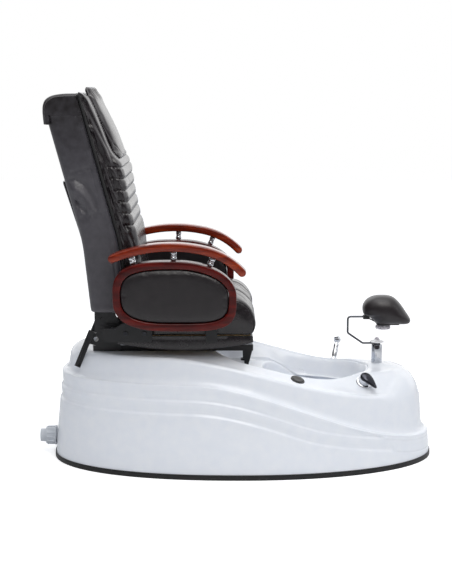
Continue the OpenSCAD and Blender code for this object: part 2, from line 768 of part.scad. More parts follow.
module pad_plate() {
    under = pad_low_z - 0.5 - gap;
    color([0.1, 0.1, 0.1]) {
        difference() {
            translate([post_x + clamp_x[0], -9, rod_top_z - 9])
                cube([clamp_x[1] - clamp_x[0], 18, 15]);
            translate([post_x + clamp_x[0] - 1, 0, rod_top_z]) rotate([0, 90, 0])
                cylinder(h = 60, r = rod_d / 2 + run);
        }
        difference() {
            translate([post_x - 4, -30, under - 3.5]) cube([84, 60, 3.5]);
            translate([post_x + 22, 0, under - 10]) cylinder(h = 20, r = 4 + run);
        }
        plane_bar([post_x + clamp_x[1] - 1, rod_top_z - 7.5], [post_x + 6, under - 1.7], 3, -8, 8);
    }
}

module footrest_knob() {
    top = pad_low_z - 9;
    color([0.9, 0.9, 0.92]) translate([post_x + 22, 0, 0]) {
        translate([0, 0, top - 14]) difference() {
            cylinder(h = 14, r = knob_r);
            for (a = [0:30:330]) rotate(a) translate([knob_r + 3, 0, -1]) cylinder(h = 16, r = 5);
        }
        translate([0, 0, top - 1]) cylinder(h = 8, r = 4);
    }
}

// ---- fixed frame that carries the chair ----
rail_w = 25;
rail_h = 20;
rail_z = deck_rear_z + gap;
rail_top = rail_z + rail_h;
rail_x = [-560, 34];
leg_y = rail_y + rail_w / 2 + 6;
leg_foot = [-618, 377];
leg_top = [-563, 510];

module chair_frame() {
    inner = rail_y - rail_w / 2 - weld;
    color([0.1, 0.1, 0.1]) {
        both_sides() translate([rail_x[0], rail_y - rail_w / 2, rail_z])
            box_tube([rail_x[1] - rail_x[0], rail_w, rail_h], 0);
        for (x = [rail_x[0], rail_x[1] - 95]) translate([x, -inner, rail_z])
            box_tube([20, 2 * inner, rail_h], 1);
    }
}

module rear_legs() {
    plate_y = rail_y + rail_w / 2 + gap;
    color([0.1, 0.1, 0.1]) both_sides() {
        difference() {
            plane_bar(leg_foot, leg_top, 22, leg_y, leg_y + 14);
            translate([leg_foot[0] - 6, leg_y - 1, leg_foot[1] - 16])
                rotate([0, 35, 0]) cube([40, 16, 16]);
            plane_bar(leg_foot + [8, 0], leg_top + [-12, -24], 14, leg_y + 3, leg_y + 20);
        }
        difference() {
            xz_extrude(plate_y, leg_y) polygon([[-574, 502], [-470, 500], [-452, rail_z],
                [-520, rail_z], [-532, 444], [-552, 455], [-572, 460], [-590, 460]]);
            translate([-548, plate_y - 1, 478]) rotate([-90, 0, 0]) cylinder(h = 10, r = 9);
        }
    }
}

module front_legs() {
    foot_h = 8;
    color([0.1, 0.1, 0.1]) both_sides() {
        xz_extrude(rail_y - 6, rail_y + 6) polygon([[0, rail_z - weld], [31, rail_z - weld],
            [15, shelf_z + 40], [14, shelf_z + foot_h], [3, shelf_z + foot_h],
            [2, shelf_z + 40]]);
        translate([8.5, rail_y, shelf_z + gap]) cylinder(h = foot_h, r = 14);
    }
}

// ---- seat slide ----
track_z = rail_top + gap;
runner_top = track_z + 15.5;
module slide_rails() {
    color("silver") both_sides() translate([frame_x[0], rail_y, track_z])
        rotate([90, 0, 90]) linear_extrude(rail_x[1] - frame_x[0] - 2) polygon([[-6, 0], [6, 0],
            [6, 6], [9, 6], [9, 10], [-9, 10], [-9, 6], [-6, 6]]);
}

module slide_runners() {
    l = rail_x[1] - frame_x[0] - slide_travel - 118;
    color("gray") both_sides() translate([frame_x[0] + 5, rail_y, track_z])
        rotate([90, 0, 90]) linear_extrude(l) polygon([[-12.2, 1.2], [-6.4, 1.2],
            [-6.4, 5.6], [-9.4, 5.6], [-9.4, 10.4], [9.4, 10.4], [9.4, 5.6], [6.4, 5.6],
            [6.4, 1.2], [12.2, 1.2], [12.2, 15.5], [-12.2, 15.5]]);
}

// ---- seat frame ----
frame_z = runner_top + weld;
frame_h = 22;
frame_x = [-500, 0];
frame_top = frame_z + frame_h;
flat_t = 5;
outrigger_x = [-445, -135];
arm_in = seat_half_w + arm_gap;
plate_t = 6;
pan_z = frame_top + flat_t + 2 * weld;
pan_t = 12;
cushion_z = pan_z + pan_t + gap;
ear_y = seat_half_w - 22;
ear_t = 6;
hinge_t = 6;
pivot = [-pivot_back, pivot_z];

module seat_frame() {
    inner = rail_y - rail_w / 2 - weld;
    color([0.1, 0.1, 0.1]) {
        both_sides() translate([frame_x[0], rail_y - rail_w / 2, frame_z])
            box_tube([frame_x[1] - frame_x[0], rail_w, frame_h], 0);
        for (x = [-430, -182, -30]) translate([x, -inner, frame_z + 6])
            box_tube([24, 2 * inner, frame_h - 7], 1, 2);
    }
}

module seat_outriggers() {
    reach = arm_in - gap - plate_t - weld;
    color([0.1, 0.1, 0.1]) for (x = outrigger_x)
        translate([x, -reach, frame_top + weld]) cube([30, 2 * reach, flat_t]);
}

module seat_pan() {
    w = ear_y - hinge_t - 3;
    color("tan") translate([-455, -w, pan_z]) cube([455 + seat_front - 26, 2 * w, pan_t]);
}

// Side outline of the seat cushion from its front top corner, rear bottom first
seat_low = cushion_z - seat_top_z;
seat_side = [[-396, seat_low], [-398, seat_low + 40], [-398, -50], [-392, -30], [-376, -18],
    [-300, -12], [-200, -6], [-150, -2], [-122, 0], [-94, 0], [-67, -2], [-48, -8], [-32, -20],
    [-18, -40], [-9, -62], [-3, -84], [0, -108], [-5, -124], [-12, seat_low + 6],
    [-22, seat_low]];
module seat_cushion() {
    mid = [-200, (seat_low - 20) / 2];
    seam = seat_seam_y / seat_half_w;
    // Share of the half width, and how far the outline is drawn in there
    stations = [[0, 0], [seam - 0.02, 0.001], [seam, 0.045], [seam + 0.02, 0.001], [0.5, 0.002],
        [0.8, 0.008], [0.91, 0.02], [0.97, 0.045], [1, 0.1]];
    both = concat([for (k = [8:-1:1]) [-stations[k][0], stations[k][1]]], stations);
    rings = [for (s = both) [for (p = seat_side) let (q = lerp(p, mid, s[1]))
        [seat_front + q[0], s[0] * seat_half_w, seat_top_z + max(q[1], seat_low)]]];
    color([0.15, 0.14, 0.14]) skin(rings);
}

module seat_skirts() {
    top = cushion_z - gap;
    depth = top - rail_top;
    front = seat_front - 24;
    bow = [for (k = [0:10]) let (t = k / 10)
        [lerp(-462, front, t), top - depth * (0.5 + 0.46 * sin(180 * t))]];
    color([0.13, 0.12, 0.12]) {
        both_sides() difference() {
            xz_extrude(seat_half_w - 10, seat_half_w)
                polygon(concat(bow, [[front, top], [-462, top]]));
            for (x = outrigger_x) translate([x - 1, seat_half_w - 12, frame_top - 1])
                cube([32, 14, flat_t + 2]);
        }
        translate([front + weld, -seat_half_w + 8, track_z + 30])
            cube([9, 2 * seat_half_w - 16, top - track_z - 30]);
    }
}

// ---- arms ----
ring_c = [-251, 666];
ring_a = 220;
ring_b = 125;
ring_n = 64;
crest = [-265, ring_c[1] + ring_b + arm_post_l];
rail_blend = 12.8;
rail_rear = 22.7;
rail_front = 47;
rail_c1 = crest - [0, arm_rail_r];
rail_c2 = rail_c1 + (arm_rail_r - arm_front_r) * [sin(rail_blend), cos(rail_blend)];

// Exponents of the ring's four corners: front top, rear top, rear bottom, front bottom
function ring_power(a) = a < 90 ? 2.05 : a < 180 ? 3.1 : a < 270 ? 2.3 : 4;
function ring_outline(off) = [for (i = [0:ring_n - 1])
    let (a = 360 * i / ring_n, u = unit_oval(a, ring_power(a)))
    ring_c + [(ring_a + off) * u[0], (ring_b + off) * u[1]]];
function ring_level(p) =
    let (d = p - ring_c, n = d[0] > 0 ? 2.05 : 3.1)
    pow(abs(d[0]) / ring_a, n) + pow(abs(d[1]) / ring_b, n);
// Distance from p along d to the ring's outside, found by halving
function ring_reach(p, d, low, high, k) =
    k == 0 ? low : let (m = (low + high) / 2)
    ring_level(p + m * d) > 1 ? ring_reach(p, d, m, high, k - 1)
                              : ring_reach(p, d, low, m, k - 1);

module arm_plates() {
    y0 = arm_in - gap - plate_t;
    low = frame_top + weld;
    color([0.1, 0.1, 0.1]) both_sides() {
        difference() {
            xz_extrude(y0, y0 + plate_t) polygon([[-515, low + 22], [-505, low], [-338, low],
                [-334, low + 8], [-334, 560], [-440, 560], [-470, 541], [-515, 541]]);
            for (x = [-430, -362]) translate([x, y0 - 1, low + 32])
                rotate([-90, 0, 0]) cylinder(h = 10, r = 5);
        }
        translate([outrigger_x[1] - 6, y0, low]) cube([42, plate_t, 562 - low]);
    }
}

module arm_bolts() {
    y0 = arm_in - gap - plate_t;
    color("silver") both_sides() for (x = [-430, -362])
        translate([x, y0 - 4, frame_top + weld + 32]) rotate([-90, 0, 0]) {
            cylinder(h = plate_t + 4.2, r = 5 - run);
            translate([0, 0, plate_t + 4 + weld]) difference() {
                cylinder(h = 5, r = 8);
                translate([0, 0, 2]) cylinder(h = 4, r = 4, $fn = 6);
            }
            translate([0, 0, -4]) cylinder(h = 4 - weld, r = 9, $fn = 6);
            cylinder(h = 4 - weld, r = 5 - run);
        }
}

module arm_rings() {
    color([0.42, 0.08, 0.05]) both_sides() difference() {
        xz_extrude(arm_in, arm_in + arm_w) polygon(ring_outline(0));
        xz_extrude(arm_in - 1, arm_in + arm_w + 1) polygon(ring_outline(-ring_t));
    }
}

module arm_panels() {
    depth = arm_in + arm_w;
    levels = [[0, arm_in + 14], [0, depth - 12], [8, depth - 7], [28, depth - 2], [60, depth]];
    color([0.14, 0.13, 0.13]) both_sides() skin([for (l = levels)
        [for (p = ring_outline(-ring_t - gap - l[0])) [p[0], l[1], p[1]]]]);
}

module arm_posts() {
    leans = [-15.6, 1.2, 21.2];
    starts = [for (a = leans) a < rail_blend
        ? [rail_c1 + (arm_rail_r - run) * [sin(a), cos(a)], a]
        : [rail_c2 + (arm_front_r - run) * [sin(a), cos(a)], a]];
    color("silver") both_sides() for (s = starts) {
        a = s[1];
        l = ring_reach(s[0], [-sin(a), -cos(a)], 0, 80, 12) - 2 * gap;
        translate([s[0][0], arm_in + arm_w / 2, s[0][1]]) rotate([0, a + 180, 0])
            arm_post(l);
    }
}

// Turned post of length l: a ball at each end with a waist between
module arm_post(l) {
    r = arm_ball_r;
    translate([0, 0, r * 0.75]) intersection() {
        sphere(r = r);
        translate([-r, -r, -r * 0.7]) cube([2 * r, 2 * r, 2 * r]);
    }
    translate([0, 0, l - r]) sphere(r = r);
    translate([0, 0, 2]) cylinder(h = l - 4, r = r * 0.62);
    translate([0, 0, l / 2 - 1.5]) cylinder(h = 3, r = r * 0.85);
}

module arm_rails() {
    joint = rail_c1 + arm_rail_r * [sin(rail_blend), cos(rail_blend)];
    color([0.42, 0.08, 0.05]) both_sides()
        translate([joint[0], arm_in + arm_w / 2, joint[1]]) rotate([0, rail_blend, 0]) {
            rail_sweep(arm_rail_r, rail_rear + rail_blend);
            mirror([1, 0, 0]) rail_sweep(arm_front_r, rail_front - rail_blend);
        }
}
// Length of rail that curves away from the origin towards -X, with a rounded tip
module rail_sweep(r, sweep) {
    translate([0, 0, -r]) {
        rotate([90, 0, 0]) rotate([0, 0, 90]) rotate_extrude(angle = sweep, $fn = 96)
            translate([r, -arm_w / 2]) rounded_square([arm_rail_t, arm_w], 5);
        rotate([0, -sweep, 0]) translate([0, 0, r + arm_rail_t / 2]) rotate([90, 0, 0])
            cylinder(h = arm_w - 4, r = arm_rail_t / 2 - 0.4, center = true);
    }
}

// ---- recline hinge and actuator ----
actuator_z = rail_z + rail_h + 6;
lever_drop = pivot_z - actuator_z;
rod_eye_x = pivot[0] - 22;
yoke_half_w = 8;
yoke_pin_r = 6;
tube_x = [-330, -205];
module hinge_ears() {
    color([0.1, 0.1, 0.1]) both_sides() difference() {
        xz_extrude(ear_y, ear_y + ear_t) polygon([[-445, pan_z - weld], [-415, pan_z - weld],
            [-425, 515], [-455, 550], [-500, 550], [-510, 520], [-490, 500]]);
        translate([pivot[0], ear_y - 1, pivot[1]]) rotate([-90, 0, 0])
            cylinder(h = 10, r = pivot_r + run);
    }
}

module hinge_pins() {
    y0 = ear_y - gap - hinge_t;
    color("silver") both_sides() translate([pivot[0], y0, pivot[1]]) rotate([-90, 0, 0]) {
        cylinder(h = ear_t + hinge_t + gap + weld, r = pivot_r);
        translate([0, 0, ear_t + hinge_t + gap + weld]) cylinder(h = 6, r = pivot_r + 4);
    }
}

module hinge_plates() {
    color([0.1, 0.1, 0.1]) both_sides() difference() {
        xz_extrude(ear_y - gap - hinge_t, ear_y - gap) polygon([[-505, 505], [-455, 512],
            [-450, 545], [-472, 590], [-466, 680], [-528, 680], [-545, 600], [-545, 520]]);
        translate([pivot[0], ear_y - 10, pivot[1]]) rotate([-90, 0, 0])
            cylinder(h = 12, r = pivot_r + run);
        for (z = [572, 650]) translate([-520, ear_y - 10, z]) rotate([-90, 0, 0])
            cylinder(h = 12, r = 4);
    }
}

module actuator_body() {
    color("dimgray") {
        translate([tube_x[0], 0, actuator_z]) rotate([0, 90, 0]) difference() {
            cylinder(h = tube_x[1] - tube_x[0], r = 13);
            translate([0, 0, -1]) cylinder(h = 110, r = yoke_half_w - 0.5 + run);
        }
        translate([tube_x[1] - 60, 0, actuator_z]) rotate([0, 90, 0]) difference() {
            cylinder(h = 60, r = 22);
            cylinder(h = 130, r = 12, center = true);
        }
        translate([tube_x[1], -8, actuator_z - 8]) cube([22.8, 16, 30]);
    }
}

// Rod whose end is a yoke with an upright slot for the lever's pin
module actuator_rod() {
    slot_r = yoke_pin_r + gap + run;
    rise = [-5.5, 1.5];
    color("silver") translate([rod_eye_x, 0, actuator_z]) difference() {
        union() {
            rotate([0, 90, 0]) cylinder(h = tube_x[0] + 20 - rod_eye_x, r = yoke_half_w - 0.5);
            translate([-11, -yoke_half_w, rise[0] - 11])
                cube([22, 2 * yoke_half_w, rise[1] - rise[0] + 22]);
        }
        for (z = rise) translate([0, 0, z]) rotate([90, 0, 0])
            cylinder(h = 40, r = slot_r, center = true);
        translate([-slot_r, -20, rise[0]]) cube([2 * slot_r, 40, rise[1] - rise[0]]);
    }
}

// ---- backrest: lines that its pieces follow ----
back_half_w = seat_half_w;
bend_r = 45;
function seam_x(z) = -428 - tan(lean_low) * (z - 595)
    - (tan(lean_up) - tan(lean_low)) * bend(z - back_bend_z, bend_r);
function rear_x(z) = seam_x(z) - casing_d;

// U section of the casing at height z, outside then inside
function casing_section(z) =
    let (f = seam_x(z), r = rear_x(z), w = back_half_w, t = casing_t, c = 32,
        arc = [for (a = [0:22.5:90]) [c * (1 - cos(a)), c * (1 - sin(a))]],
        half_out = concat([[f, -w]], [for (k = [len(arc) - 1:-1:0]) [r + arc[k][0], -w + arc[k][1]]]),
        half_in = concat([[f, -w + t]], [for (k = [len(arc) - 1:-1:0])
            [r + t + arc[k][0] * (c - t) / c, -w + t + arc[k][1] * (c - t) / c]]),
        n = len(half_out) - 1)
    [for (p = half_out) [p[0], p[1], z],
        for (k = [n:-1:0]) [half_out[k][0], -half_out[k][1], z],
        for (p = half_in) [p[0], -p[1], z],
        for (k = [n:-1:0]) [half_in[k][0], half_in[k][1], z]];

module back_casing() {
    levels = [back_low_z, 680, 760, back_bend_z - bend_r, back_bend_z - 15, back_bend_z + 15,
        back_bend_z + bend_r, 1000, 1130, 1220, back_high_z];
    color([0.17, 0.16, 0.16]) skin([for (z = levels) casing_section(z)], "strip");
}

module back_hood() {
    z0 = back_high_z + gap;
    top = back_high_z + 76;
    flap = back_high_z - 32;
    x0 = rear_x(flap);
    color([0.16, 0.15, 0.15]) xz_extrude(-back_half_w, back_half_w) polygon([
        [x0 - 2 * gap, flap], [x0 - 16, flap], [x0 - 19, flap + 52], [x0 - 17, flap + 70],
        [x0 - 9, flap + 86], [x0 + 6, flap + 98], [x0 + 26, flap + 104], [x0 + 60, top],
        [seam_x(top), top], [seam_x(z0), z0], [rear_x(z0) - 2 * gap, z0]]);
}

cover_h = 213;
module rear_cover() {
    z0 = back_bend_z + 2;
    z1 = z0 + cover_h;
    steps = [for (k = [0:5]) lerp(z0, z1, k / 5)];
    color([0.13, 0.12, 0.12]) xz_extrude(-back_half_w + 70, back_half_w - 70) polygon(concat(
        [for (z = steps) [rear_x(z) - 0.9, z]],
        [for (k = [5:-1:0]) [rear_x(steps[k]) - 8 - 10 * k / 5, steps[k]]]));
}

// Thickness of the front cushion over the seam line, by height
rib_count = 5;
rib_top_z = rib_low_z + rib_count * rib_pitch;
cushion_low_z = back_low_z + 17;
cushion_top_z = back_high_z + 92;
cover_t = [[cushion_low_z, 30], [cushion_low_z + 18, 58], [cushion_low_z + 88, 71],
    [rib_low_z + 12, 71], [rib_top_z - 7, 88], [rib_top_z + 13, 86],
    [back_high_z - 135, 60], [back_high_z - 60, 50], [back_high_z + 10, 41],
    [back_high_z + 61, 32], [back_high_z + 84, 20], [cushion_top_z, 8]];
module back_cushion() {
    rib_marks = [for (k = [0:rib_count - 1]) let (z = rib_low_z + k * rib_pitch)
        each [[z, rib_h], [z + 0.14 * rib_pitch, 1.2], [z + 0.5 * rib_pitch, 0],
            [z + 0.86 * rib_pitch, 1.2]]];
    marks = concat([for (z = [cushion_low_z, cushion_low_z + 18, cushion_low_z + 56,
            cushion_low_z + 88, 760, back_bend_z - 30, back_bend_z, back_bend_z + 30,
            rib_low_z - 6]) [z, 0]],
        rib_marks, [[rib_top_z, rib_h]],
        [for (z = [rib_top_z + 6, rib_top_z + 17]) [z, 0]],
        [for (d = [-135, -100, -60, -25, 10, 61, 84, 92]) [back_high_z + d, 0]]);
    back_marks = [cushion_top_z - 4, back_high_z - 50, 1130, 1000, back_bend_z + bend_r,
        back_bend_z + 15, back_bend_z - 15, back_bend_z - bend_r, 760, 680,
        cushion_low_z + 4];
    sides = [[0, 1], [0.55, 1], [0.8, 0.985], [0.9, 0.93], [0.965, 0.74], [1, 0.3]];
    both = concat([for (k = [5:-1:1]) [-sides[k][0], sides[k][1]]], sides);
    color([0.14, 0.13, 0.13]) skin([for (s = both) concat(
        [for (m = marks) [seam_x(m[0]) + 3 * gap
            + (along(cover_t, m[0]) - m[1] * (1 - smooth((abs(s[0]) - 0.94) / 0.06))) * s[1],
            s[0] * back_half_w, m[0]]],
        [for (z = back_marks) [seam_x(z) + 3 * gap, s[0] * back_half_w, z]])]);
}

pillow_half_w = 165;
pillow_t = [[1138, 3], [1146, 16], [1165, 34], [1207, 38], [1240, 37], [1284, 35],
    [1310, 37], [1340, 40], [1361, 40], [1375, 38], [1384, 34], [1396, 22], [1404, 6]];
module head_pillow() {
    stations = [for (k = [-6:6]) let (s = k / 6) [s, pow(1 - pow(abs(s), 3), 0.45)]];
    rear = [for (m = pillow_t) [seam_x(m[0]) + max(along(cover_t, m[0]), 22) + 5 * gap, m[0]]];
    color([0.11, 0.1, 0.1]) skin([for (s = stations) concat(
        [for (k = [0:len(rear) - 1])
            [rear[k][0] + max(0.08, s[1]) * pillow_t[k][1], s[0] * pillow_half_w, rear[k][1]]],
        [for (k = [len(rear) - 1:-1:0]) [rear[k][0], s[0] * pillow_half_w, rear[k][1]]])]);
}

// ---- backrest: steel frame and massage drive ----
stile_in = 62;
stile_w = 24;
stile_wall = 2.5;
stile_y = ear_y - gap - hinge_t - weld - stile_w;
drive_in = 82;
drive_from = [seam_x(back_bend_z) - drive_in, back_bend_z];
function drive_at(s) = drive_from + s * [-sin(lean_up), cos(lean_up)];
rod_y = 60;
guide_r = 7;
screw_r = 8;
bar_s = [-104, 430];
carriage_s = 42;
carriage_h = 80;
roller_r = 25;
roller_out = 45;

module back_frame() {
    bar_z = back_low_z + 17;
    past = [0, 1];
    a = [seam_x(bar_z - 6) - stile_in, bar_z - 6];
    b = [seam_x(back_bend_z) - stile_in, back_bend_z];
    c = [seam_x(back_high_z) - stile_in, back_high_z];
    color([0.1, 0.1, 0.1]) {
        both_sides() difference() {
            xz_extrude(stile_y, stile_y + stile_w) polygon(concat(
                [for (p = [a, b, c]) [p[0] - stile_w / 2, p[1]]],
                [for (p = [c, b, a]) [p[0] + stile_w / 2, p[1]]]));
            xz_extrude(stile_y + stile_wall, stile_y + stile_w - stile_wall) polygon(concat(
                [for (p = [a - past, b, c + past]) [p[0] - stile_w / 2 + stile_wall, p[1]]],
                [for (p = [c + past, b, a - past]) [p[0] + stile_w / 2 - stile_wall, p[1]]]));
        }
        translate([a[0] - 14, -stile_y + weld, bar_z]) cube([28, 2 * (stile_y - weld), 24]);
        for (s = bar_s) plane_bar(drive_at(s), drive_at(s + 24), 24, -stile_y + weld,
            stile_y - weld);
        difference() {
            translate([rod_eye_x - 11, -15, actuator_z - 14])
                cube([22, 30, bar_z - weld - actuator_z + 14]);
            translate([rod_eye_x - 12, -yoke_half_w - 0.5, actuator_z - 15])
                cube([24, 2 * yoke_half_w + 1, 40]);
        }
        translate([rod_eye_x, 0, actuator_z]) rotate([90, 0, 0])
            cylinder(h = 28, r = yoke_pin_r, center = true);
    }
}

module on_drive(s) {
    p = drive_at(s);
    translate([p[0], 0, p[1]]) rotate([0, -lean_up, 0]) children();
}

module guide_rods() {
    color("silver") both_sides() on_drive(bar_s[0] + 24 + weld) translate([0, rod_y, 0])
        cylinder(h = bar_s[1] - bar_s[0] - 24 - 2 * weld, r = guide_r);
}

motor_h = 62;
module screw_motor() {
    color("dimgray") on_drive(bar_s[0] + 24 + weld) difference() {
        cylinder(h = motor_h, r = 24);
        translate([0, 0, 10]) cylinder(h = motor_h, r = screw_r + run);
    }
}

module lead_screw() {
    color("silver") on_drive(bar_s[0] + 24 + weld + 12)
        cylinder(h = bar_s[1] - bar_s[0] - 38 - 2 * weld, r = screw_r);
}

module massage_carriage() {
    color([0.25, 0.25, 0.27]) on_drive(carriage_s) difference() {
        union() {
            translate([-20, -78, -carriage_h / 2]) cube([40, 156, carriage_h]);
            for (y = [-74, -34, 28, 68]) translate([18, y, -12])
                cube([roller_out - 18 + 9, 6, 24]);
        }
        for (y = [-rod_y, rod_y]) translate([0, y, -carriage_h]) cylinder(h = 2 * carriage_h,
            r = guide_r + run);
        translate([0, 0, -carriage_h]) cylinder(h = 2 * carriage_h, r = screw_r + 2 * run);
        translate([roller_out, 0, 0]) rotate([90, 0, 0])
            cylinder(h = 200, r = 5 + run, center = true);
    }
}

module massage_rollers() {
    color("darkred") on_drive(carriage_s) translate([roller_out, 0, 0]) rotate([90, 0, 0]) {
        cylinder(h = 156, r = 5, center = true);
        for (y = [-64, 38]) translate([0, 0, y]) {
            cylinder(h = 26, r = roller_r - 5);
            translate([0, 0, 13]) rotate_extrude() translate([roller_r - 8, 0]) circle(8);
        }
    }
}

module placed() {
    translate([origin_shift, 0, 0]) children();
}
module from_tail() {
    translate([chair_shift, 0, 0]) children();
}

placed() base_shell();
placed() foot_basin();
placed() base_trim();
placed() from_tail() platform_board();
placed() from_tail() base_frame();
placed() from_tail() levelling_feet();
placed() from_tail() jet_pump();
placed() pump_pipe();
placed() jet_housing();
placed() drain_strainer();
placed() drain_pipe();
placed() drain_union();
placed() mixer_ring();
placed() mixer_valve();
placed() mixer_body();
placed() mixer_lever();
placed() button_bezel();
placed() jet_button();
placed() button_bellows();
placed() spray_holder();
placed() spray_handset();
placed() footrest_post();
placed() post_nut();
placed() footrest_collar();
placed() footrest_rod();
placed() pad_plate();
placed() footrest_pad();
placed() footrest_knob();
placed() from_tail() chair_frame();
placed() from_tail() rear_legs();
placed() from_tail() front_legs();
placed() from_tail() slide_rails();
placed() from_tail() slide_runners();
placed() from_tail() seat_frame();
placed() from_tail() seat_outriggers();
placed() from_tail() seat_pan();
placed() from_tail() seat_cushion();
placed() from_tail() seat_skirts();
placed() from_tail() arm_plates();
placed() from_tail() arm_bolts();
placed() from_tail() arm_rings();
placed() from_tail() arm_panels();
placed() from_tail() arm_posts();
placed() from_tail() arm_rails();
placed() from_tail() hinge_ears();
placed() from_tail() hinge_pins();
placed() from_tail() actuator_body();
placed() from_tail() actuator_rod();
placed() from_tail() hinge_plates();
placed() from_tail() back_frame();
placed() from_tail() back_casing();
placed() from_tail() back_hood();
placed() from_tail() rear_cover();
placed() from_tail() back_cushion();
placed() from_tail() head_pillow();
placed() from_tail() guide_rods();
placed() from_tail() lead_screw();
placed() from_tail() screw_motor();
placed() from_tail() massage_carriage();
placed() from_tail() massage_rollers();
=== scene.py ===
# %% [markdown]
# # Pedicure spa chair
#
# The object is a reclining massage chair on a moulded foot-spa base. Its mechanism
# is already built as exact solids, and this lesson dresses it: the plastic base,
# the leather, the polished wood and the chrome are modelled here at full finish.
# Everything shares one frame: metres, +X towards the feet, +Y to the sitter's
# left, +Z up, floor at zero. Lengths below are written in millimetres from the
# middle of the base, as a workshop drawing would give them.

# %% Load the mechanism
import math

import bmesh
import bpy
import numpy as np
from mathutils import Matrix, Vector


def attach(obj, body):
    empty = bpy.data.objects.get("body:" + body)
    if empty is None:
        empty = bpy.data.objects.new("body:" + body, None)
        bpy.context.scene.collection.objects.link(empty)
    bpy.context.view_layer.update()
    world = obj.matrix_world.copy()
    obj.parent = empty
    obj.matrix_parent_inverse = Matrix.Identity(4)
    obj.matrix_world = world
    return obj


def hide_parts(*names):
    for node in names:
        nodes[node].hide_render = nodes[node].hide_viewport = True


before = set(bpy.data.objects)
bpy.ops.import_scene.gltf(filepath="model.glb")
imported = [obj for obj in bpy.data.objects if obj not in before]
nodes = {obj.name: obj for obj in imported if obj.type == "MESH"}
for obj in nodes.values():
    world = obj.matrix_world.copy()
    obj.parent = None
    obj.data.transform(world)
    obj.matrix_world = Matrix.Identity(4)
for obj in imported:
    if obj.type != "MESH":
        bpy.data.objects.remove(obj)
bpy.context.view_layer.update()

# %% [markdown]
# The mechanism's solids stay exactly as they are. A dressed piece is drawn in its
# place and tied to the body that it moves with, so that the chair still slides,
# reclines and swivels. First come the small tools that every piece uses.

# %% Millimetres to the shared frame
AHEAD = 29


def at(x, y, z):
    return Vector(((x + AHEAD) / 1000, y / 1000, z / 1000))


def lerp(a, b, t):
    return a + (b - a) * t


def smooth(t):
    t = min(1.0, max(0.0, t))
    return t * t * (3 - 2 * t)


def along(points, place):
    """Height read from a list of (place, value) points."""
    return float(np.interp(place, [p[0] for p in points], [p[1] for p in points]))


print("one millimetre is", at(1, 0, 0).x - at(0, 0, 0).x, "m")

# %% [markdown]
# A moulding, a cushion and a bent rod all share one way of being made: a closed
# outline is added as a circle, its points are set on the first section, and each
# further section is extruded from the last and set in its place. The points
# carry their station number with them through every extrusion, so each new one
# knows where it belongs.

# %% Sections extruded one after another
def pick(piece):
    bpy.ops.object.select_all(action="DESELECT")
    piece.select_set(True)
    bpy.context.view_layer.objects.active = piece


def edit(piece):
    pick(piece)
    bpy.ops.object.mode_set(mode="EDIT")
    bpy.ops.mesh.select_mode(type="VERT")


def done():
    bpy.ops.object.mode_set(mode="OBJECT")


def loft(name, rings, ends="cap"):
    """ends: cap closes both ends, loop joins the last section to the first."""
    count = len(rings[0])
    bpy.ops.mesh.primitive_circle_add(vertices=count, radius=0.1)
    piece = bpy.context.object
    piece.name = name
    station = piece.data.attributes.new("station", "INT", "POINT")
    for k, v in enumerate(piece.data.vertices):
        station.data[k].value = k
        v.co = rings[0][k]
    edit(piece)
    bpy.ops.mesh.select_all(action="SELECT")
    path = rings[1:] + ([rings[0]] if ends == "loop" else [])
    for ring in path:
        bpy.ops.mesh.extrude_region()
        mesh = bmesh.from_edit_mesh(piece.data)
        mark = mesh.verts.layers.int["station"]
        for v in mesh.verts:
            if v.select:
                v.co = ring[v[mark]]
        bmesh.update_edit_mesh(piece.data, loop_triangles=False)
    if ends == "cap":
        bpy.ops.mesh.edge_face_add()
        bpy.ops.mesh.select_all(action="DESELECT")
        mesh = bmesh.from_edit_mesh(piece.data)
        for e in mesh.edges:
            e.select = e.is_boundary
        bmesh.update_edit_mesh(piece.data)
        bpy.ops.mesh.edge_face_add()
    bpy.ops.mesh.select_all(action="SELECT")
    bpy.ops.mesh.remove_doubles(threshold=1e-6)
    bpy.ops.mesh.normals_make_consistent(inside=False)
    done()
    piece.data.attributes.remove(piece.data.attributes["station"])
    return piece


# %% Modifiers, cuts and joins
def apply_all(piece):
    pick(piece)
    for m in [m.name for m in piece.modifiers]:
        bpy.ops.object.modifier_apply(modifier=m)


def subdivide(piece, levels=1):
    m = piece.modifiers.new("smoothed", "SUBSURF")
    m.levels = m.render_levels = levels
    apply_all(piece)


def cut(piece, *cutters):
    for c in cutters:
        m = piece.modifiers.new("cut", "BOOLEAN")
        m.operation = "DIFFERENCE"
        m.solver = "EXACT"
        m.object = c
        apply_all(piece)
        bpy.data.objects.remove(c)


def join(name, pieces):
    pick(pieces[0])
    for p in pieces[1:]:
        p.select_set(True)
    bpy.ops.object.join()
    pieces[0].name = name
    return pieces[0]


# %% Put a piece in its place for good
def place(piece, matrix):
    piece.matrix_world = matrix
    pick(piece)
    bpy.ops.object.transform_apply(location=True, rotation=True, scale=True)
    return piece


def mirrored(piece, name):
    """The same piece for the other side of the chair, with a mesh of its own."""
    twin = piece.copy()
    twin.data = piece.data.copy()
    twin.name = name
    bpy.context.collection.objects.link(twin)
    place(twin, Matrix.Scale(-1, 4, (0, 1, 0)))
    edit(twin)
    bpy.ops.mesh.select_all(action="SELECT")
    bpy.ops.mesh.normals_make_consistent(inside=False)
    done()
    return twin


def dress(piece, body, slot, material, *stands_for, angle=32):
    """Shades a finished piece, gives it its material, and ties it to its body."""
    pick(piece)
    bpy.ops.object.transform_apply(location=True, rotation=True, scale=True)
    bpy.ops.object.shade_smooth_by_angle(angle=math.radians(angle))
    piece.data.materials.clear()
    piece.data.materials.append(material)
    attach(piece, body)
    if stands_for:
        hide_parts(*stands_for)
    size = [round(v * 1000) for v in piece.dimensions]
    print(piece.name, "on", body, "size", size, "mm,", len(piece.data.polygons), "faces")
    return piece


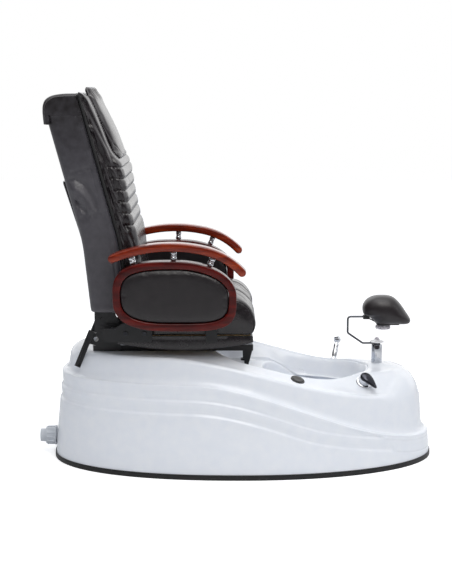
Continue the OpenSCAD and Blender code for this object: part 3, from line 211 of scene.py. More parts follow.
def dress_pair(right, slot, material, node, angle=32):
    """Dresses a right-hand piece of the seat and its mirror image on the left."""
    left = mirrored(right, right.name.replace("_right", "_left"))
    dress(right, "seat", slot, material, node, angle=angle)
    dress(left, "seat", slot, material, angle=angle)
    return right, left


# %% [markdown]
# ## Finishes
#
# Each finish starts from what the real surface is and how it was made. Colours
# are written as the hex values that a paint card would give, and one function
# turns them to the linear values that light is computed in.

# %% Colours and nodes
def colour(hex_value):
    parts = [int(hex_value[k:k + 2], 16) / 255 for k in (1, 3, 5)]
    return tuple(c / 12.92 if c < 0.04045 else ((c + 0.055) / 1.055) ** 2.4 for c in parts) + (1,)


def feed(tree, node, inputs):
    """Sets a node's inputs. Each is a value, or (node, output name) to link from."""
    for key, value in inputs.items():
        if isinstance(value, tuple) and isinstance(value[0], bpy.types.Node):
            tree.links.new(value[0].outputs[value[1]], node.inputs[key])
        else:
            node.inputs[key].default_value = value


def add(tree, kind, inputs=None, **settings):
    node = tree.nodes.new(kind)
    for key, value in settings.items():
        setattr(node, key, value)
    feed(tree, node, inputs or {})
    return node


def noise(tree, where, scale, detail, warp=0.0):
    return add(tree, "ShaderNodeTexNoise", {"Vector": where, "Scale": scale, "Detail": detail,
                                            "Distortion": warp})


def spread(tree, value, least, most, start=0.0, end=1.0):
    """Maps a value between start and end to between least and most."""
    return add(tree, "ShaderNodeMapRange", {"Value": value, "From Min": start, "From Max": end,
                                            "To Min": least, "To Max": most})


def relief(tree, height, strength, distance, inputs=None, **settings):
    return add(tree, "ShaderNodeBump", {"Height": height, "Strength": strength,
                                        "Distance": distance, **(inputs or {})}, **settings)


def tinted(tree, value, *stops):
    """A colour ramp over a value, from (place, hex colour) stops."""
    ramp_node = add(tree, "ShaderNodeValToRGB", {"Fac": value})
    marks = ramp_node.color_ramp.elements
    while len(marks) > 1:
        marks.remove(marks[-1])
    marks[0].position, marks[0].color = stops[0][0], colour(stops[0][1])
    for place_at, shade in stops[1:]:
        marks.new(place_at).color = colour(shade)
    return ramp_node


def finish_named(name):
    """A new material, its node tree, its shader, and the place on the piece."""
    material = bpy.data.materials.new(name)
    material.use_nodes = True
    tree = material.node_tree
    tree.nodes.clear()
    shader = add(tree, "ShaderNodeBsdfPrincipled")
    add(tree, "ShaderNodeOutputMaterial", {"Surface": (shader, "BSDF")})
    return material, tree, shader, (add(tree, "ShaderNodeTexCoord"), "Object")


def coat(tree, shader, tone, dull, bumps=None, **values):
    """Wires a finish's colour, roughness and relief to its shader."""
    feed(tree, shader, {"Base Color": (tone, "Color"), "Roughness": (dull, "Result")})
    if bumps:
        feed(tree, shader, {"Normal": (bumps, "Normal")})
    feed(tree, shader, {key.replace("_", " "): value for key, value in values.items()})


print("black leather in linear light", [round(c, 4) for c in colour("#2B2423")])

# %% [markdown]
# **Vacuum-formed acrylic.** The base is a white sheet drawn over a mould, so it is
# glossy but never quite flat: the sheet keeps a slow ripple from cooling, and
# handling leaves faint dull patches. Both are far wider than a pixel.

# %% Acrylic
acrylic, tree, shader, spot = finish_named("vacuum_formed_acrylic")
ripple = noise(tree, spot, 9.0, 2.0)
swell = relief(tree, (ripple, "Fac"), 0.03, 0.004)
patches = noise(tree, spot, 26.0, 5.0)
sheen = spread(tree, (patches, "Fac"), 0.10, 0.22)
tone = tinted(tree, (patches, "Fac"), (0.3, "#E9EDF4"), (0.7, "#EEF1F6"))
coat(tree, shader, tone, sheen, swell, IOR=1.49)
print(acrylic.name, "with", len(tree.nodes), "nodes")

# %% [markdown]
# ** Embossed synthetic leather.** A PVC skin on cloth, near black with a brown cast,
# pressed with a pebble grain about 1.5 mm across. That is finer than the render
# can show, so the grain is drawn at 3 mm. Slow soft creases run over it where the
# skin is pulled round foam, and its tone varies in soft patches.

# %% Leather
def leather(name, dark, pale, gloss, crease=1.0, painted_shade_heights=(3.0, 4.0)):
    """Painted shade: upwards across the two heights given last, in metres, the cover's colour is
    painted down to almost black.
    """
    material, tree, shader, spot = finish_named(name)
    pebble = add(tree, "ShaderNodeTexVoronoi", {"Vector": spot, "Scale": 330.0},
                 feature="SMOOTH_F1")
    grain = relief(tree, (pebble, "Distance"), 0.12, 0.0006, invert=True)
    slow = noise(tree, spot, 16.0, 3.0, 0.6)
    fold = relief(tree, (slow, "Fac"), 0.16 * crease, 0.010, {"Normal": (grain, "Normal")})
    wear = noise(tree, spot, 34.0, 6.0)
    place_in = add(tree, "ShaderNodeSeparateXYZ", {"Vector": spot})
    # painted shade: between the two given heights the colour is pulled down towards almost black,
    # standing in for shade at the top of the cover; the tone below mixes random wear with this
    # painted shade
    painted_shade = spread(tree, (place_in, "Z"), 0.25, -0.2, *painted_shade_heights)
    depth = add(tree, "ShaderNodeMath", {0: (wear, "Fac"), 1: 0.5, 2: (painted_shade, "Result")},
                operation="MULTIPLY_ADD")
    tone = tinted(tree, (depth, "Value"), (0.0, "#1A1618"), (0.38, dark), (0.64, pale))
    dull = spread(tree, (wear, "Fac"), gloss - 0.05, gloss + 0.07)
    coat(tree, shader, tone, dull, fold, IOR=1.5)
    print(name, "with", len(tree.nodes), "nodes")
    return material


black_leather = leather("embossed_pvc_leather", "#1A1618", "#262124", 0.25)
# painted light and shade: the casing and hood are the same near-black leather as the seat, drawn in
# this paler grey copy as painted light, and painted dark towards their top as painted shade
casing_leather_painted_light_and_shade = leather("casing_pvc_leather", "#403E43", "#4D4B50", 0.36, 0.4, (1.06, 1.34))
panel_leather = leather("stretched_pvc_leather", "#191517", "#231E20", 0.34, 0.2)
pad_leather = leather("footrest_pvc_leather", "#191416", "#221C1F", 0.36, 0.15)

# %% [markdown]
# **Polished mahogany.** The armrests are beech-ply bends stained red and sprayed
# with clear lacquer. The stain pools in the pores, so dark streaks a few
# millimetres apart follow the length of the wood. The clear coat gives the hard
# white reflection along every top edge.

# %% Lacquered wood
def lacquered(name, deep, mid, bright, clear_coat=0.6):
    material, tree, shader, spot = finish_named(name)
    stretch = add(tree, "ShaderNodeMapping", {"Vector": spot, "Scale": (7.0, 60.0, 60.0)})
    figure = noise(tree, (stretch, "Vector"), 1.0, 7.0, 0.8)
    tone = tinted(tree, (figure, "Fac"), (0.30, deep), (0.5, mid), (0.72, bright))
    pores = noise(tree, (stretch, "Vector"), 6.0, 4.0)
    pit = relief(tree, (pores, "Fac"), 0.05, 0.0005)
    satin = spread(tree, (figure, "Fac"), 0.26, 0.42)
    coat(tree, shader, tone, satin, pit, Specular_IOR_Level=0.15, Coat_Weight=clear_coat,
         Coat_Roughness=0.04)
    print(name, "with", len(tree.nodes), "nodes")
    return material


rail_wood = lacquered("lacquered_mahogany", "#4C0F05", "#742007", "#96330B")
ring_wood = lacquered("dark_lacquered_mahogany", "#330403", "#480704", "#640F05", 0.3)

# %% [markdown]
# **Plated and painted metals, moulded plastics, rubber.** Chrome is a mirror with
# faint polishing marks. Zinc plate is soft and cloudy. Powder coat is black with
# the fine orange peel of a baked powder. Moulded plastics are plain and slightly
# mottled, and rubber is dull and dusty.

# %% Metals, plastics and rubber
def surface(name, dark, pale, rough, metal=0.0, grain_mm=2.0, bump=0.05, patch_mm=40.0):
    """rough is (least, most); grain_mm the grain's size, patch_mm that of the mottling."""
    material, tree, shader, spot = finish_named(name)
    patch = noise(tree, spot, 1000.0 / patch_mm, 5.0)
    tone = tinted(tree, (patch, "Fac"), (0.3, dark), (0.7, pale))
    dull = spread(tree, (patch, "Fac"), *rough)
    grain = noise(tree, spot, 1000.0 / grain_mm, 3.0)
    peel = relief(tree, (grain, "Fac"), bump, 0.0005)
    coat(tree, shader, tone, dull, peel, Metallic=metal)
    print(name, "with", len(tree.nodes), "nodes")
    return material


chrome = surface("polished_chrome_plate", "#C9CCD1", "#D6D8DC", (0.03, 0.09), 1.0, 6.0, 0.01)
# painted reflection: a dark copy of the chrome for the tap lever, whose dark look is the dark room
# it mirrors
chrome_painted_dark = surface("chrome_plate_painted_dark_reflection", "#33343A", "#45464C", (0.05, 0.12), 1.0, 6.0, 0.01)
# painted reflection: the footrest rod is chrome, drawn in this duller, darker metal for the dark it
# mirrors
rod_chrome_painted_dark = surface("chrome_rod_painted_dark_reflection", "#4A4C52", "#5C5E64", (0.2, 0.34), 1.0, 3.0, 0.04)
zinc = surface("zinc_plated_steel", "#8E9196", "#B2B4B8", (0.32, 0.5), 1.0, 3.0, 0.08, 12.0)
bolt_steel = surface("blackened_bolt_steel", "#2E2F32", "#4B4C50", (0.35, 0.5), 1.0, 3.0, 0.06, 12.0)
brass = surface("turned_brass", "#9A7A3E", "#B8964F", (0.22, 0.4), 1.0, 2.0, 0.05, 15.0)
powder = surface("black_powder_coat", "#0E0E10", "#17171A", (0.38, 0.52), 0.0, 2.5, 0.12)
abs_black = surface("moulded_abs_black", "#0C0C0E", "#131316", (0.10, 0.2), 0.0, 3.0, 0.03)
pump_plastic = surface("moulded_nylon_grey", "#25282D", "#30343A", (0.4, 0.55), 0.0, 2.0, 0.1)
pvc = surface("extruded_pvc", "#BCC1C8", "#CFD3D9", (0.3, 0.45), 0.0, 3.0, 0.05)
edging_rubber = surface("extruded_rubber", "#0B0B0C", "#131314", (0.45, 0.6), 0.0, 2.0, 0.1)
bellows_rubber = surface("moulded_silicone", "#151516", "#1F1F20", (0.5, 0.65), 0.0, 2.0, 0.1)
roller_rubber = surface("moulded_polyurethane", "#4A1411", "#5E1C17", (0.35, 0.5), 0.0, 2.0, 0.1)
white_plastic = surface("moulded_abs_white", "#E6E6E8", "#EFEFF0", (0.14, 0.26), 0.0, 3.0, 0.03)
plywood = surface("birch_plywood", "#A98A5C", "#C6A876", (0.5, 0.7), 0.0, 4.0, 0.2, 9.0)
zip_tape = surface("woven_zip_tape", "#0A0A0B", "#161617", (0.6, 0.8), 0.0, 2.5, 0.5, 5.0)

# %% [markdown]
# **Clear polystyrene.** The clamp knob is moulded in water-clear plastic that
# handling has scratched cloudy, so light passes through it softly.

# %% Translucent knob
clear_plastic, tree, shader, spot = finish_named("frosted_polystyrene")
cloud = noise(tree, spot, 90.0, 4.0)
tone = tinted(tree, (cloud, "Fac"), (0.3, "#C9C4CB"), (0.7, "#E4E0E6"))
haze = spread(tree, (cloud, "Fac"), 0.25, 0.5)
coat(tree, shader, tone, haze, Transmission_Weight=0.55, IOR=1.59)
print(clear_plastic.name, "with", len(tree.nodes), "nodes")

# %% [markdown]
# ## Studio
#
# The camera stands 4.8 m off the chair's right side at 1.39 m, looking slightly
# down, with a lens of about 100 mm on a 36 mm frame. A pale dome lights it, brighter
# towards the feet, with a large soft key lamp high on the camera's side and weaker
# lamps overhead, beside the feet and behind. Polished pieces mirror the same room,
# which is white at the far side and dark where the camera stands.

# %% Camera
FOCAL_PX, IMAGE_W_PX, SENSOR_MM = 1269.887, 452, 36
LOOK_DOWN, LOOK_ASIDE = 0.15769, -0.009
bpy.ops.object.camera_add(location=(-0.0794, -4.78957, 1.38887),
                          rotation=(math.radians(90) - LOOK_DOWN, 0, LOOK_ASIDE))
camera = bpy.context.object
camera.name = "studio_camera"
camera.data.sensor_fit = "HORIZONTAL"
camera.data.sensor_width = SENSOR_MM
camera.data.lens = FOCAL_PX * SENSOR_MM / IMAGE_W_PX
camera.data.clip_end = 60
bpy.context.scene.camera = camera
bpy.context.scene.view_settings.view_transform = "Standard"
print("lens", round(camera.data.lens, 1), "mm at", [round(v, 2) for v in camera.location])

# %% Lamps
def soft_lamp(name, location, aim, size, energy, tint):
    bpy.ops.object.light_add(type="AREA", location=location)
    lamp = bpy.context.object
    lamp.name = name
    lamp.data.shape = "DISK"
    lamp.data.size = size
    lamp.data.energy = energy
    lamp.data.color = colour(tint)[:3]
    lamp.rotation_euler = (Vector(aim) - Vector(location)).to_track_quat("-Z", "Y").to_euler()
    print(name, energy, "W,", size, "m across")


soft_lamp("overhead_lamp", (0.3, -0.4, 3.5), (0.1, 0, 0.4), 2.4, 30, "#FFFFFF")
soft_lamp("key_lamp", (0.5, -2.6, 3.7), (-0.2, 0, 0.5), 2.2, 44, "#FFFDF8")
soft_lamp("feet_side_strip", (2.7, -1.1, 1.7), (-0.3, 0, 0.9), 0.5, 2.5, "#FFFFFF")
soft_lamp("rim_lamp", (-0.6, 2.4, 3.0), (-0.3, 0, 0.9), 2.0, 12, "#F4F8FF")

# %% A pale dome, white where it is seen or mirrored
world = bpy.context.scene.world or bpy.data.worlds.new("studio")
bpy.context.scene.world = world
world.use_nodes = True
tree = world.node_tree
tree.nodes.clear()
ray = add(tree, "ShaderNodeLightPath")
heading = add(tree, "ShaderNodeTexCoord")
axes = add(tree, "ShaderNodeSeparateXYZ", {"Vector": (heading, "Generated")})
height = spread(tree, (axes, "Z"), 0.0, 1.0, -0.25, 0.7)
dome = tinted(tree, (height, "Result"), (0.0, "#A9AEB8"), (0.35, "#CBD0DA"), (1.0, "#F6F8FC"))
toward_feet = spread(tree, (axes, "X"), 0.50, 0.70, -1.0, 0.5)
lit = add(tree, "ShaderNodeBackground", {"Color": (dome, "Color"),
                                         "Strength": (toward_feet, "Result")})
side = spread(tree, (axes, "X"), 0.0, 1.0, -0.9, 0.9)
walls = tinted(tree, (side, "Result"), (0.0, "#6E6A69"), (0.16, "#FFFFFF"), (0.9, "#FFFFFF"),
               (1.0, "#F2F4F8"))
room = spread(tree, (axes, "Y"), 0.0, 1.0, -0.75, -0.15)
overhead = spread(tree, (axes, "Z"), 0.0, 1.0, 0.25, 0.6)
open_side = add(tree, "ShaderNodeMath", {0: (room, "Result"), 1: (overhead, "Result")},
                operation="MAXIMUM")
dim_room = add(tree, "ShaderNodeBackground", {"Color": colour("#39373A"), "Strength": 1.0})
far_side = spread(tree, (axes, "Y"), 1.0, 1.4, 0.1, 0.6)
bright_walls = add(tree, "ShaderNodeBackground", {"Color": (walls, "Color"),
                                                  "Strength": (far_side, "Result")})
mirrored_walls = add(tree, "ShaderNodeMixShader", {"Fac": (open_side, "Value"),
                                                   1: (dim_room, "Background"),
                                                   2: (bright_walls, "Background")})
white = add(tree, "ShaderNodeBackground", {"Color": colour("#FFFFFF"), "Strength": 1.0})
first = add(tree, "ShaderNodeMixShader", {"Fac": (ray, "Is Glossy Ray"), 1: (lit, "Background"),
                                          2: (mirrored_walls, "Shader")})
seen = add(tree, "ShaderNodeMath", {0: (ray, "Is Camera Ray"), 1: (ray, "Is Transmission Ray")},
           operation="MAXIMUM")
last = add(tree, "ShaderNodeMixShader", {"Fac": (seen, "Value"), 1: (first, "Shader"),
                                         2: (white, "Background")})
add(tree, "ShaderNodeOutputWorld", {"Surface": (last, "Shader")})
print("dome with", len(tree.nodes), "nodes")

# %% Floor
bpy.ops.mesh.primitive_plane_add(size=30, location=(0, 0, 0))
floor = bpy.context.object
floor.name = "studio_floor"
floor_paint, tree, shader, spot = finish_named("white_floor_paint")
scuff = noise(tree, spot, 3.0, 3.0)
tone = tinted(tree, (scuff, "Fac"), (0.3, "#F4F4F4"), (0.7, "#F8F8F8"))
ray = add(tree, "ShaderNodeLightPath")
lift = add(tree, "ShaderNodeMath", {0: (ray, "Is Camera Ray"), 1: 0.52}, operation="MULTIPLY")
feed(tree, shader, {"Base Color": (tone, "Color"), "Roughness": 0.9, "Specular IOR Level": 0.1,
                    "Emission Color": colour("#FFFFFF"), "Emission Strength": (lift, "Value")})
floor.data.materials.append(floor_paint)
print("floor", floor.dimensions.x, "m wide")

# %% [markdown]
# ## The base moulding
#
# The whole lower body is one sheet of acrylic drawn over a mould: a leaning skirt
# with two stepped lines that swoop from tail to nose, a coved ledge, a wall, and a
# deck that runs down into the foot basin. A moulding like this is a closed loop of
# sections, so it is lofted: each point of the section is a ring round the base.

# %% Sizes of the base
BASE_L, BASE_W, EDGING_H, EDGING_T, SHELL_T = 1450, 770, 20, 3, 6
HALF_L, HALF_W = BASE_L / 2 - EDGING_T, BASE_W / 2 - EDGING_T
LEDGE_W, DRAFT = 26, 0.095
BASIN_X, BASIN_REAR, BASIN_FRONT, BASIN_HALF_W = 60, 175, 420, 240
POST_X = 515
STEP_A, STEP_B, TREAD = 7.0, 7.5, 9.0
STOP_A, STOP_B = 0.342, 0.370
# How square the plan ovals are: 2 is an ellipse, and more is squarer
NOSE_POWER, TAIL_POWER, BASIN_NOSE_POWER, BASIN_TAIL_POWER = 2.05, 2.25, 2.1, 3.2


def ledge_z(x):
    return lerp(340, 100, smooth((x / BASE_L + 0.14) / 0.66))


def edge_z(x):
    return lerp(432, 272, smooth((x / BASE_L + 0.21) / 0.6))


def rim_z(x):
    return lerp(432, 340, smooth((x / BASE_L + 0.083) / 0.36))


def line_z(x, drop, keep):
    return ledge_z(x) - drop * lerp(1, keep, smooth((x / BASE_L - 0.14) / 0.24))


def deck_z(x, y):
    half = (HALF_W - 60) * max(0.02, 1 - (abs(x) / (HALF_L - 60)) ** 2.1) ** (1 / 2.1)
    crown = lerp(rim_z(x), edge_z(x), smooth((abs(y) / half - 0.5) / 0.5))
    return crown + 16 * math.exp(-((x - POST_X) ** 2 + y * y) / 2000)


def deck_frame(x, y):
    """Matrix that puts the origin on the deck at x, y with Z along its normal."""
    sx = (deck_z(x + 4, y) - deck_z(x - 4, y)) / 8
    sy = (deck_z(x, y + 4) - deck_z(x, y - 4)) / 8
    n = Vector((-sx, -sy, 1)).normalized()
    turn = Matrix.Rotation(math.atan2(n.x, n.z), 4, "Y") @ Matrix.Rotation(math.asin(-n.y), 4, "X")
    return Matrix.Translation(at(x, y, deck_z(x, y))) @ turn


print("deck at the tap", round(deck_z(446, -178), 1), "mm")

# %% One section of the moulding
def oval(angle, power):
    c, s = math.cos(angle), math.sin(angle)
    return (math.copysign(abs(c) ** (2 / power), c), math.copysign(abs(s) ** (2 / power), s))


def skirt(u, inset, z):
    return at((HALF_L - inset) * u[0], (HALF_W - inset) * u[1], z)


def rim_point(u, off):
    reach = BASIN_FRONT if u[0] > 0 else BASIN_REAR
    return (BASIN_X + (reach + off) * u[0], (BASIN_HALF_W + off) * u[1])


def fillet(u):
    if u[0] > 0:
        t = smooth((u[0] - 0.72) / 0.28)
        return lerp(15, 92, t), lerp(16, 150, t)
    t = smooth((-u[0] - 0.6) / 0.4)
    return lerp(15, 37, t), lerp(16, 45, t)


def lean(z):
    return DRAFT * max(0, z - EDGING_H)


def base_section(angle):
    nose = math.cos(angle) > 0
    u = oval(angle, NOSE_POWER if nose else TAIL_POWER)
    h = oval(angle, BASIN_NOSE_POWER if nose else BASIN_TAIL_POWER)
    x = 0.97 * HALF_L * u[0]
    lz, za, zb = ledge_z(x), line_z(x, 60, 0.35), line_z(x, 108, 0.6)
    da = STEP_A * (1 - smooth((x / BASE_L - STOP_A) / 0.008))
    db = STEP_B * (1 - smooth((x / BASE_L - STOP_B) / 0.008))
    wall = lean(lz) + LEDGE_W
    fw, fh = fillet(u)
    top = wall + 4 + fw
    edge = ((HALF_L - top) * u[0], (HALF_W - top) * u[1])
    ez = deck_z(*edge)
    wz = ez - fh
    lip, rim = rim_point(h, 12), rim_point(h, 0)
    rz = deck_z(*rim)
    gap_b, gap_a = za - zb, lz - za
    points = [skirt(u, 0, 4.3), skirt(u, 0, 12)]
    points += [skirt(u, lean(zb * t), max(14, zb * t)) for t in (0.3, 0.6, 0.85)]
    points += [skirt(u, lean(zb - 3.5), zb - 3.5), skirt(u, lean(zb) + 0.9, zb - 0.6),
               skirt(u, lean(zb) + db * 0.4, zb + TREAD * 0.25),
               skirt(u, lean(zb) + db * 0.8, zb + TREAD * 0.6), skirt(u, lean(zb) + db, zb + TREAD)]
    points += [skirt(u, lean(zb + gap_b * t) + db * (1 - t), zb + gap_b * t) for t in (0.4, 0.7)]
    points += [skirt(u, lean(za - 3.5) + db * 0.1, za - 3.5), skirt(u, lean(za) + 0.8, za - 0.6),
               skirt(u, lean(za) + da * 0.4, za + TREAD * 0.25),
               skirt(u, lean(za) + da * 0.8, za + TREAD * 0.6), skirt(u, lean(za) + da, za + TREAD)]
    points += [skirt(u, lean(za + gap_a * t) + da * (1 - t), za + gap_a * t) for t in (0.45, 0.75)]
    points += [skirt(u, lean(lz - 7), lz - 7), skirt(u, lean(lz) + 0.8, lz - 2.6),
               skirt(u, lean(lz) + 3, lz - 0.6), skirt(u, lean(lz) + 6, lz)]
    cove = wall - lean(lz) - 6
    rise = min(40, (wz - lz) * 0.6)
    for k in range(1, 7):
        a = math.radians(15 * k)
        points.append(skirt(u, lean(lz) + 6 + cove * math.sin(a), lz + rise * (1 - math.cos(a))))
    points.append(skirt(u, wall + 2, lerp(lz + rise, wz, 0.5)))
    for k in range(0, 6):
        a = math.radians(18 * k)
        points.append(skirt(u, wall + 4 + fw * (1 - math.cos(a)), wz + fh * math.sin(a)))
    for s in (0.03, 0.12, 0.26, 0.42, 0.58, 0.74, 0.88, 1.0):
        q = (lerp(edge[0], lip[0], s), lerp(edge[1], lip[1], s))
        points.append(at(q[0], q[1], deck_z(*q)))
    for a in (20, 45, 70):
        q = rim_point(h, 12 * (1 - math.sin(math.radians(a))))
        points.append(at(q[0], q[1], lerp(deck_z(*q), rz - 9, 1 - math.cos(math.radians(a)))))
    hem = rim_point(h, SHELL_T)
    under = rim_point(h, 14)
    mid = (lerp(edge[0], lip[0], 0.35), lerp(edge[1], lip[1], 0.35))
    points += [at(*rim, rz - 9), at(*rim, rz - 24), at(*hem, rz - 24),
               at(*under, deck_z(*under) - SHELL_T - 1), at(*mid, deck_z(*mid) - SHELL_T),
               skirt(u, top, ez - SHELL_T), skirt(u, wall + 4 + SHELL_T, wz - SHELL_T / 2),
               skirt(u, wall + SHELL_T, lz + 2), skirt(u, lean(lz) + SHELL_T + 5, lz - SHELL_T),
               skirt(u, lean(zb) + SHELL_T + db, zb), skirt(u, SHELL_T, 4.3)]
    return points


print("points in a section", len(base_section(0)))

# %% Loft the moulding
def nose_angle(stop):
    """Angle at which the moulding's section stands at a fraction of its length."""
    low_a, high_a = 0.0, math.pi / 2
    for _ in range(40):
        mid = (low_a + high_a) / 2
        if 0.97 * HALF_L * oval(mid, NOSE_POWER)[0] / BASE_L > stop:
            low_a = mid
        else:
            high_a = mid
    return low_a


ends_at = [nose_angle(s + d) for s in (STOP_A, STOP_B) for d in (0.0, 0.004, 0.008)]
angles = [2 * math.pi * k / 200 for k in range(200)]
angles = [a for a in angles
          if all(min(abs(a - e), abs(2 * math.pi - a - e)) > 0.011 for e in ends_at)]
angles = sorted(angles + ends_at + [2 * math.pi - e for e in ends_at])
sections = [base_section(a) for a in angles]
rings = [[s[k] for s in sections] for k in range(len(sections[0]))]
moulding = loft("base_moulding", rings, "loop")
print("sections", len(sections), "rings", len(rings))

# %% Seats and holes for what stands on the deck
def rod_cutter(matrix, radius, low_z, high_z):
    bpy.ops.mesh.primitive_cylinder_add(vertices=64, radius=radius / 1000,
                                        depth=(high_z - low_z) / 1000)
    tool = bpy.context.object
    return place(tool, matrix @ Matrix.Translation((0, 0, (low_z + high_z) / 2000)))


TAP, BUTTON, SPRAY = (446, -178), (194, -(BASIN_HALF_W * 0.94 + 36)), (368, 200)
POST_SEAT = rim_z(POST_X) + 12
tap_at, button_at, spray_at = deck_frame(*TAP), deck_frame(*BUTTON), deck_frame(*SPRAY)
post_at = Matrix.Translation(at(POST_X, 0, 0))
pipe_at = Matrix.Translation(at(-HALF_L - 20, 0, 67)) @ Matrix.Rotation(math.radians(90), 4, "Y")
cut(moulding, rod_cutter(tap_at, 30.3, -2.5, 30), rod_cutter(tap_at, 19.3, -40, 20),
    rod_cutter(button_at, 26.8, -2.5, 20), rod_cutter(button_at, 22.8, -20, 10),
    rod_cutter(spray_at, 18.3, -2.5, 20), rod_cutter(spray_at, 9.3, -20, 10),
    rod_cutter(post_at, 26, POST_SEAT, POST_SEAT + 30),
    rod_cutter(post_at, 12.3, POST_SEAT - 40, POST_SEAT + 20),
    rod_cutter(pipe_at, 26.5, 0, 80))
dress(moulding, "base", "acrylic", acrylic, "base_shell", angle=38)

# %% [markdown]
# The foot basin hangs inside the moulding's hole: a narrow shelf at the back carries
# the chair's front legs, and in front of it the footwell goes down to the drain.
# It is the same loft, closed at the bottom by a flat floor.

# %% Foot basin
WELL_X, WELL_HALF_W, SHELF_Z, FLOOR_Z = 254, 196, 330, 125
WELL_FRONT, WELL_REAR = 180, 180


def well_point(angle, off, z):
    u = oval(angle, 3)
    reach = WELL_FRONT if u[0] > 0 else WELL_REAR
    return at(WELL_X + (reach + off) * u[0],
              (WELL_HALF_W + off) * u[1] * lerp(1, 0.9, smooth(u[0])), z)


def shelf_height(x):
    return lerp(SHELF_Z, SHELF_Z - 70, smooth((x - BASIN_X - 30) / 150))


def basin_section(angle):
    h = oval(angle, BASIN_NOSE_POWER if math.cos(angle) > 0 else BASIN_TAIL_POWER)
    rim = rim_point(h, 0)
    rz = deck_z(*rim)
    s = shelf_height(well_point(angle, 0, 0).x * 1000 - AHEAD)

    def tub(off, drop):
        return at(*rim_point(h, off), rz - drop)

    def step(off, rise):
        p = rim_point(h, off)
        return at(*p, shelf_height(p[0]) + rise)

    points = []
    for a in (90, 68, 45, 22, 0):
        c, w = math.cos(math.radians(a)), math.sin(math.radians(a))
        points.append(well_point(angle, -54 + 40 * c, FLOOR_Z + 34 - 40 * w))
    points += [well_point(angle, -2.5, s - 40),
              well_point(angle, 1, s - 10), step(-32, -6), step(-20, 2), tub(-0.3, 27),
              tub(-0.3, 10), tub(-2, 8.6), tub(-4.6, 8.8), tub(-6.3, 10)]
    top, foot = tub(-6.3, 10), step(-27, 14)
    points += [top.lerp(foot, t) for t in (0.3, 0.6, 0.85)]
    points += [foot, step(-29.5, 5), step(-34, 0.8), step(-38, 0)]
    lip = well_point(angle, 0, s)
    points += [step(-38, 0).lerp(lip, 0.5), well_point(angle, 2, s), well_point(angle, -2, s - 2),
               well_point(angle, -5, s - 7), well_point(angle, -6.5, s - 14)]
    points += [well_point(angle, lerp(-6.5, -20, t), lerp(s - 14, FLOOR_Z + 34, t))
               for t in (0.33, 0.66, 1)]
    for a in (22, 45, 68, 90):
        c, w = math.cos(math.radians(a)), math.sin(math.radians(a))
        points.append(well_point(angle, -20 - 34 * (1 - c), FLOOR_Z + 34 - 34 * w))
    points.append(well_point(angle, -66, FLOOR_Z))
    return points


sections = [basin_section(2 * math.pi * k / 144) for k in range(144)]
basin = loft("foot_basin_moulding", [[s[k] for s in sections] for k in range(len(sections[0]))])
DRAIN_X = WELL_X
JET_Z, JET_X = FLOOR_Z + 45, WELL_X - WELL_REAR + 15 + SHELL_T - 2
jet_at = Matrix.Translation(at(JET_X, 0, JET_Z)) @ Matrix.Rotation(
    math.radians(90) - math.atan(15 / (SHELF_Z - FLOOR_Z - 50)), 4, "Y")
cut(basin, rod_cutter(Matrix.Translation(at(DRAIN_X, 0, 0)), 24.3, FLOOR_Z - 30, FLOOR_Z + 30),
    rod_cutter(jet_at, 26.3, -40, 40), rod_cutter(jet_at, 40.3, 1.7, 21.7))
dress(basin, "base", "acrylic", acrylic, "foot_basin", angle=38)

# %% [markdown]
# A strip of black rubber is pushed over the moulding's lower edge and keeps it off
# the wet floor. It is a lofted lip with rounded corners, following the same oval.

# %% Rubber edging
def edging_ring(out, z):
    ring = []
    for k in range(200):
        a = 2 * math.pi * k / 200
        u = oval(a, NOSE_POWER if math.cos(a) > 0 else TAIL_POWER)
        ring.append(at((HALF_L + out) * u[0], (HALF_W + out) * u[1], z))
    return ring


edging = loft("rubber_edging", [
    edging_ring(-14, 0), edging_ring(1.6, 0), edging_ring(2.6, 0.8), edging_ring(3, 2),
    edging_ring(3, EDGING_H - 2.4), edging_ring(2.7, EDGING_H - 0.8), edging_ring(1.8, EDGING_H),
    edging_ring(0.9, EDGING_H), edging_ring(0.35, EDGING_H - 0.8), edging_ring(0.35, 4),
    edging_ring(-14, 4)], "loop")
dress(edging, "base", "edging", edging_rubber, "base_trim", angle=50)

# %% [markdown]
# ## What stands on the deck
#
# The tap, the hand spray, the button's bezel and the footrest's post are round parts
# that come off a lathe, so each is drawn as half of its outline and carried round
# its own axis. Bent rods and pipings are a round section carried along a path whose
# corners are rounded first, as a bending former rounds them.

# %% Turned and swept pieces
def turned(name, outline, where, bored=False, sides=64):
    """outline: (radius, height) pairs in mm. With a bore, the outline closes on itself."""
    rings = []
    for radius, height in outline:
        rings.append([Vector((radius * math.cos(2 * math.pi * k / sides),
                              radius * math.sin(2 * math.pi * k / sides), height)) / 1000
                      for k in range(sides)])
    return place(loft(name, rings, "loop" if bored else "cap"), where)


def rounded_path(corners, radius, steps=6):
    path = [corners[0]]
    for before, here, after in zip(corners, corners[1:], corners[2:]):
        a, b = (before - here).normalized(), (after - here).normalized()
        half = a.angle(b) / 2
        centre = here + (a + b).normalized() * radius / 1000 / math.sin(half)
        first = here + a * radius / 1000 / math.tan(half) - centre
        last = here + b * radius / 1000 / math.tan(half) - centre
        path += [centre + first.slerp(last, k / steps) * radius / 1000 for k in range(steps + 1)]
    return path + [corners[-1]]


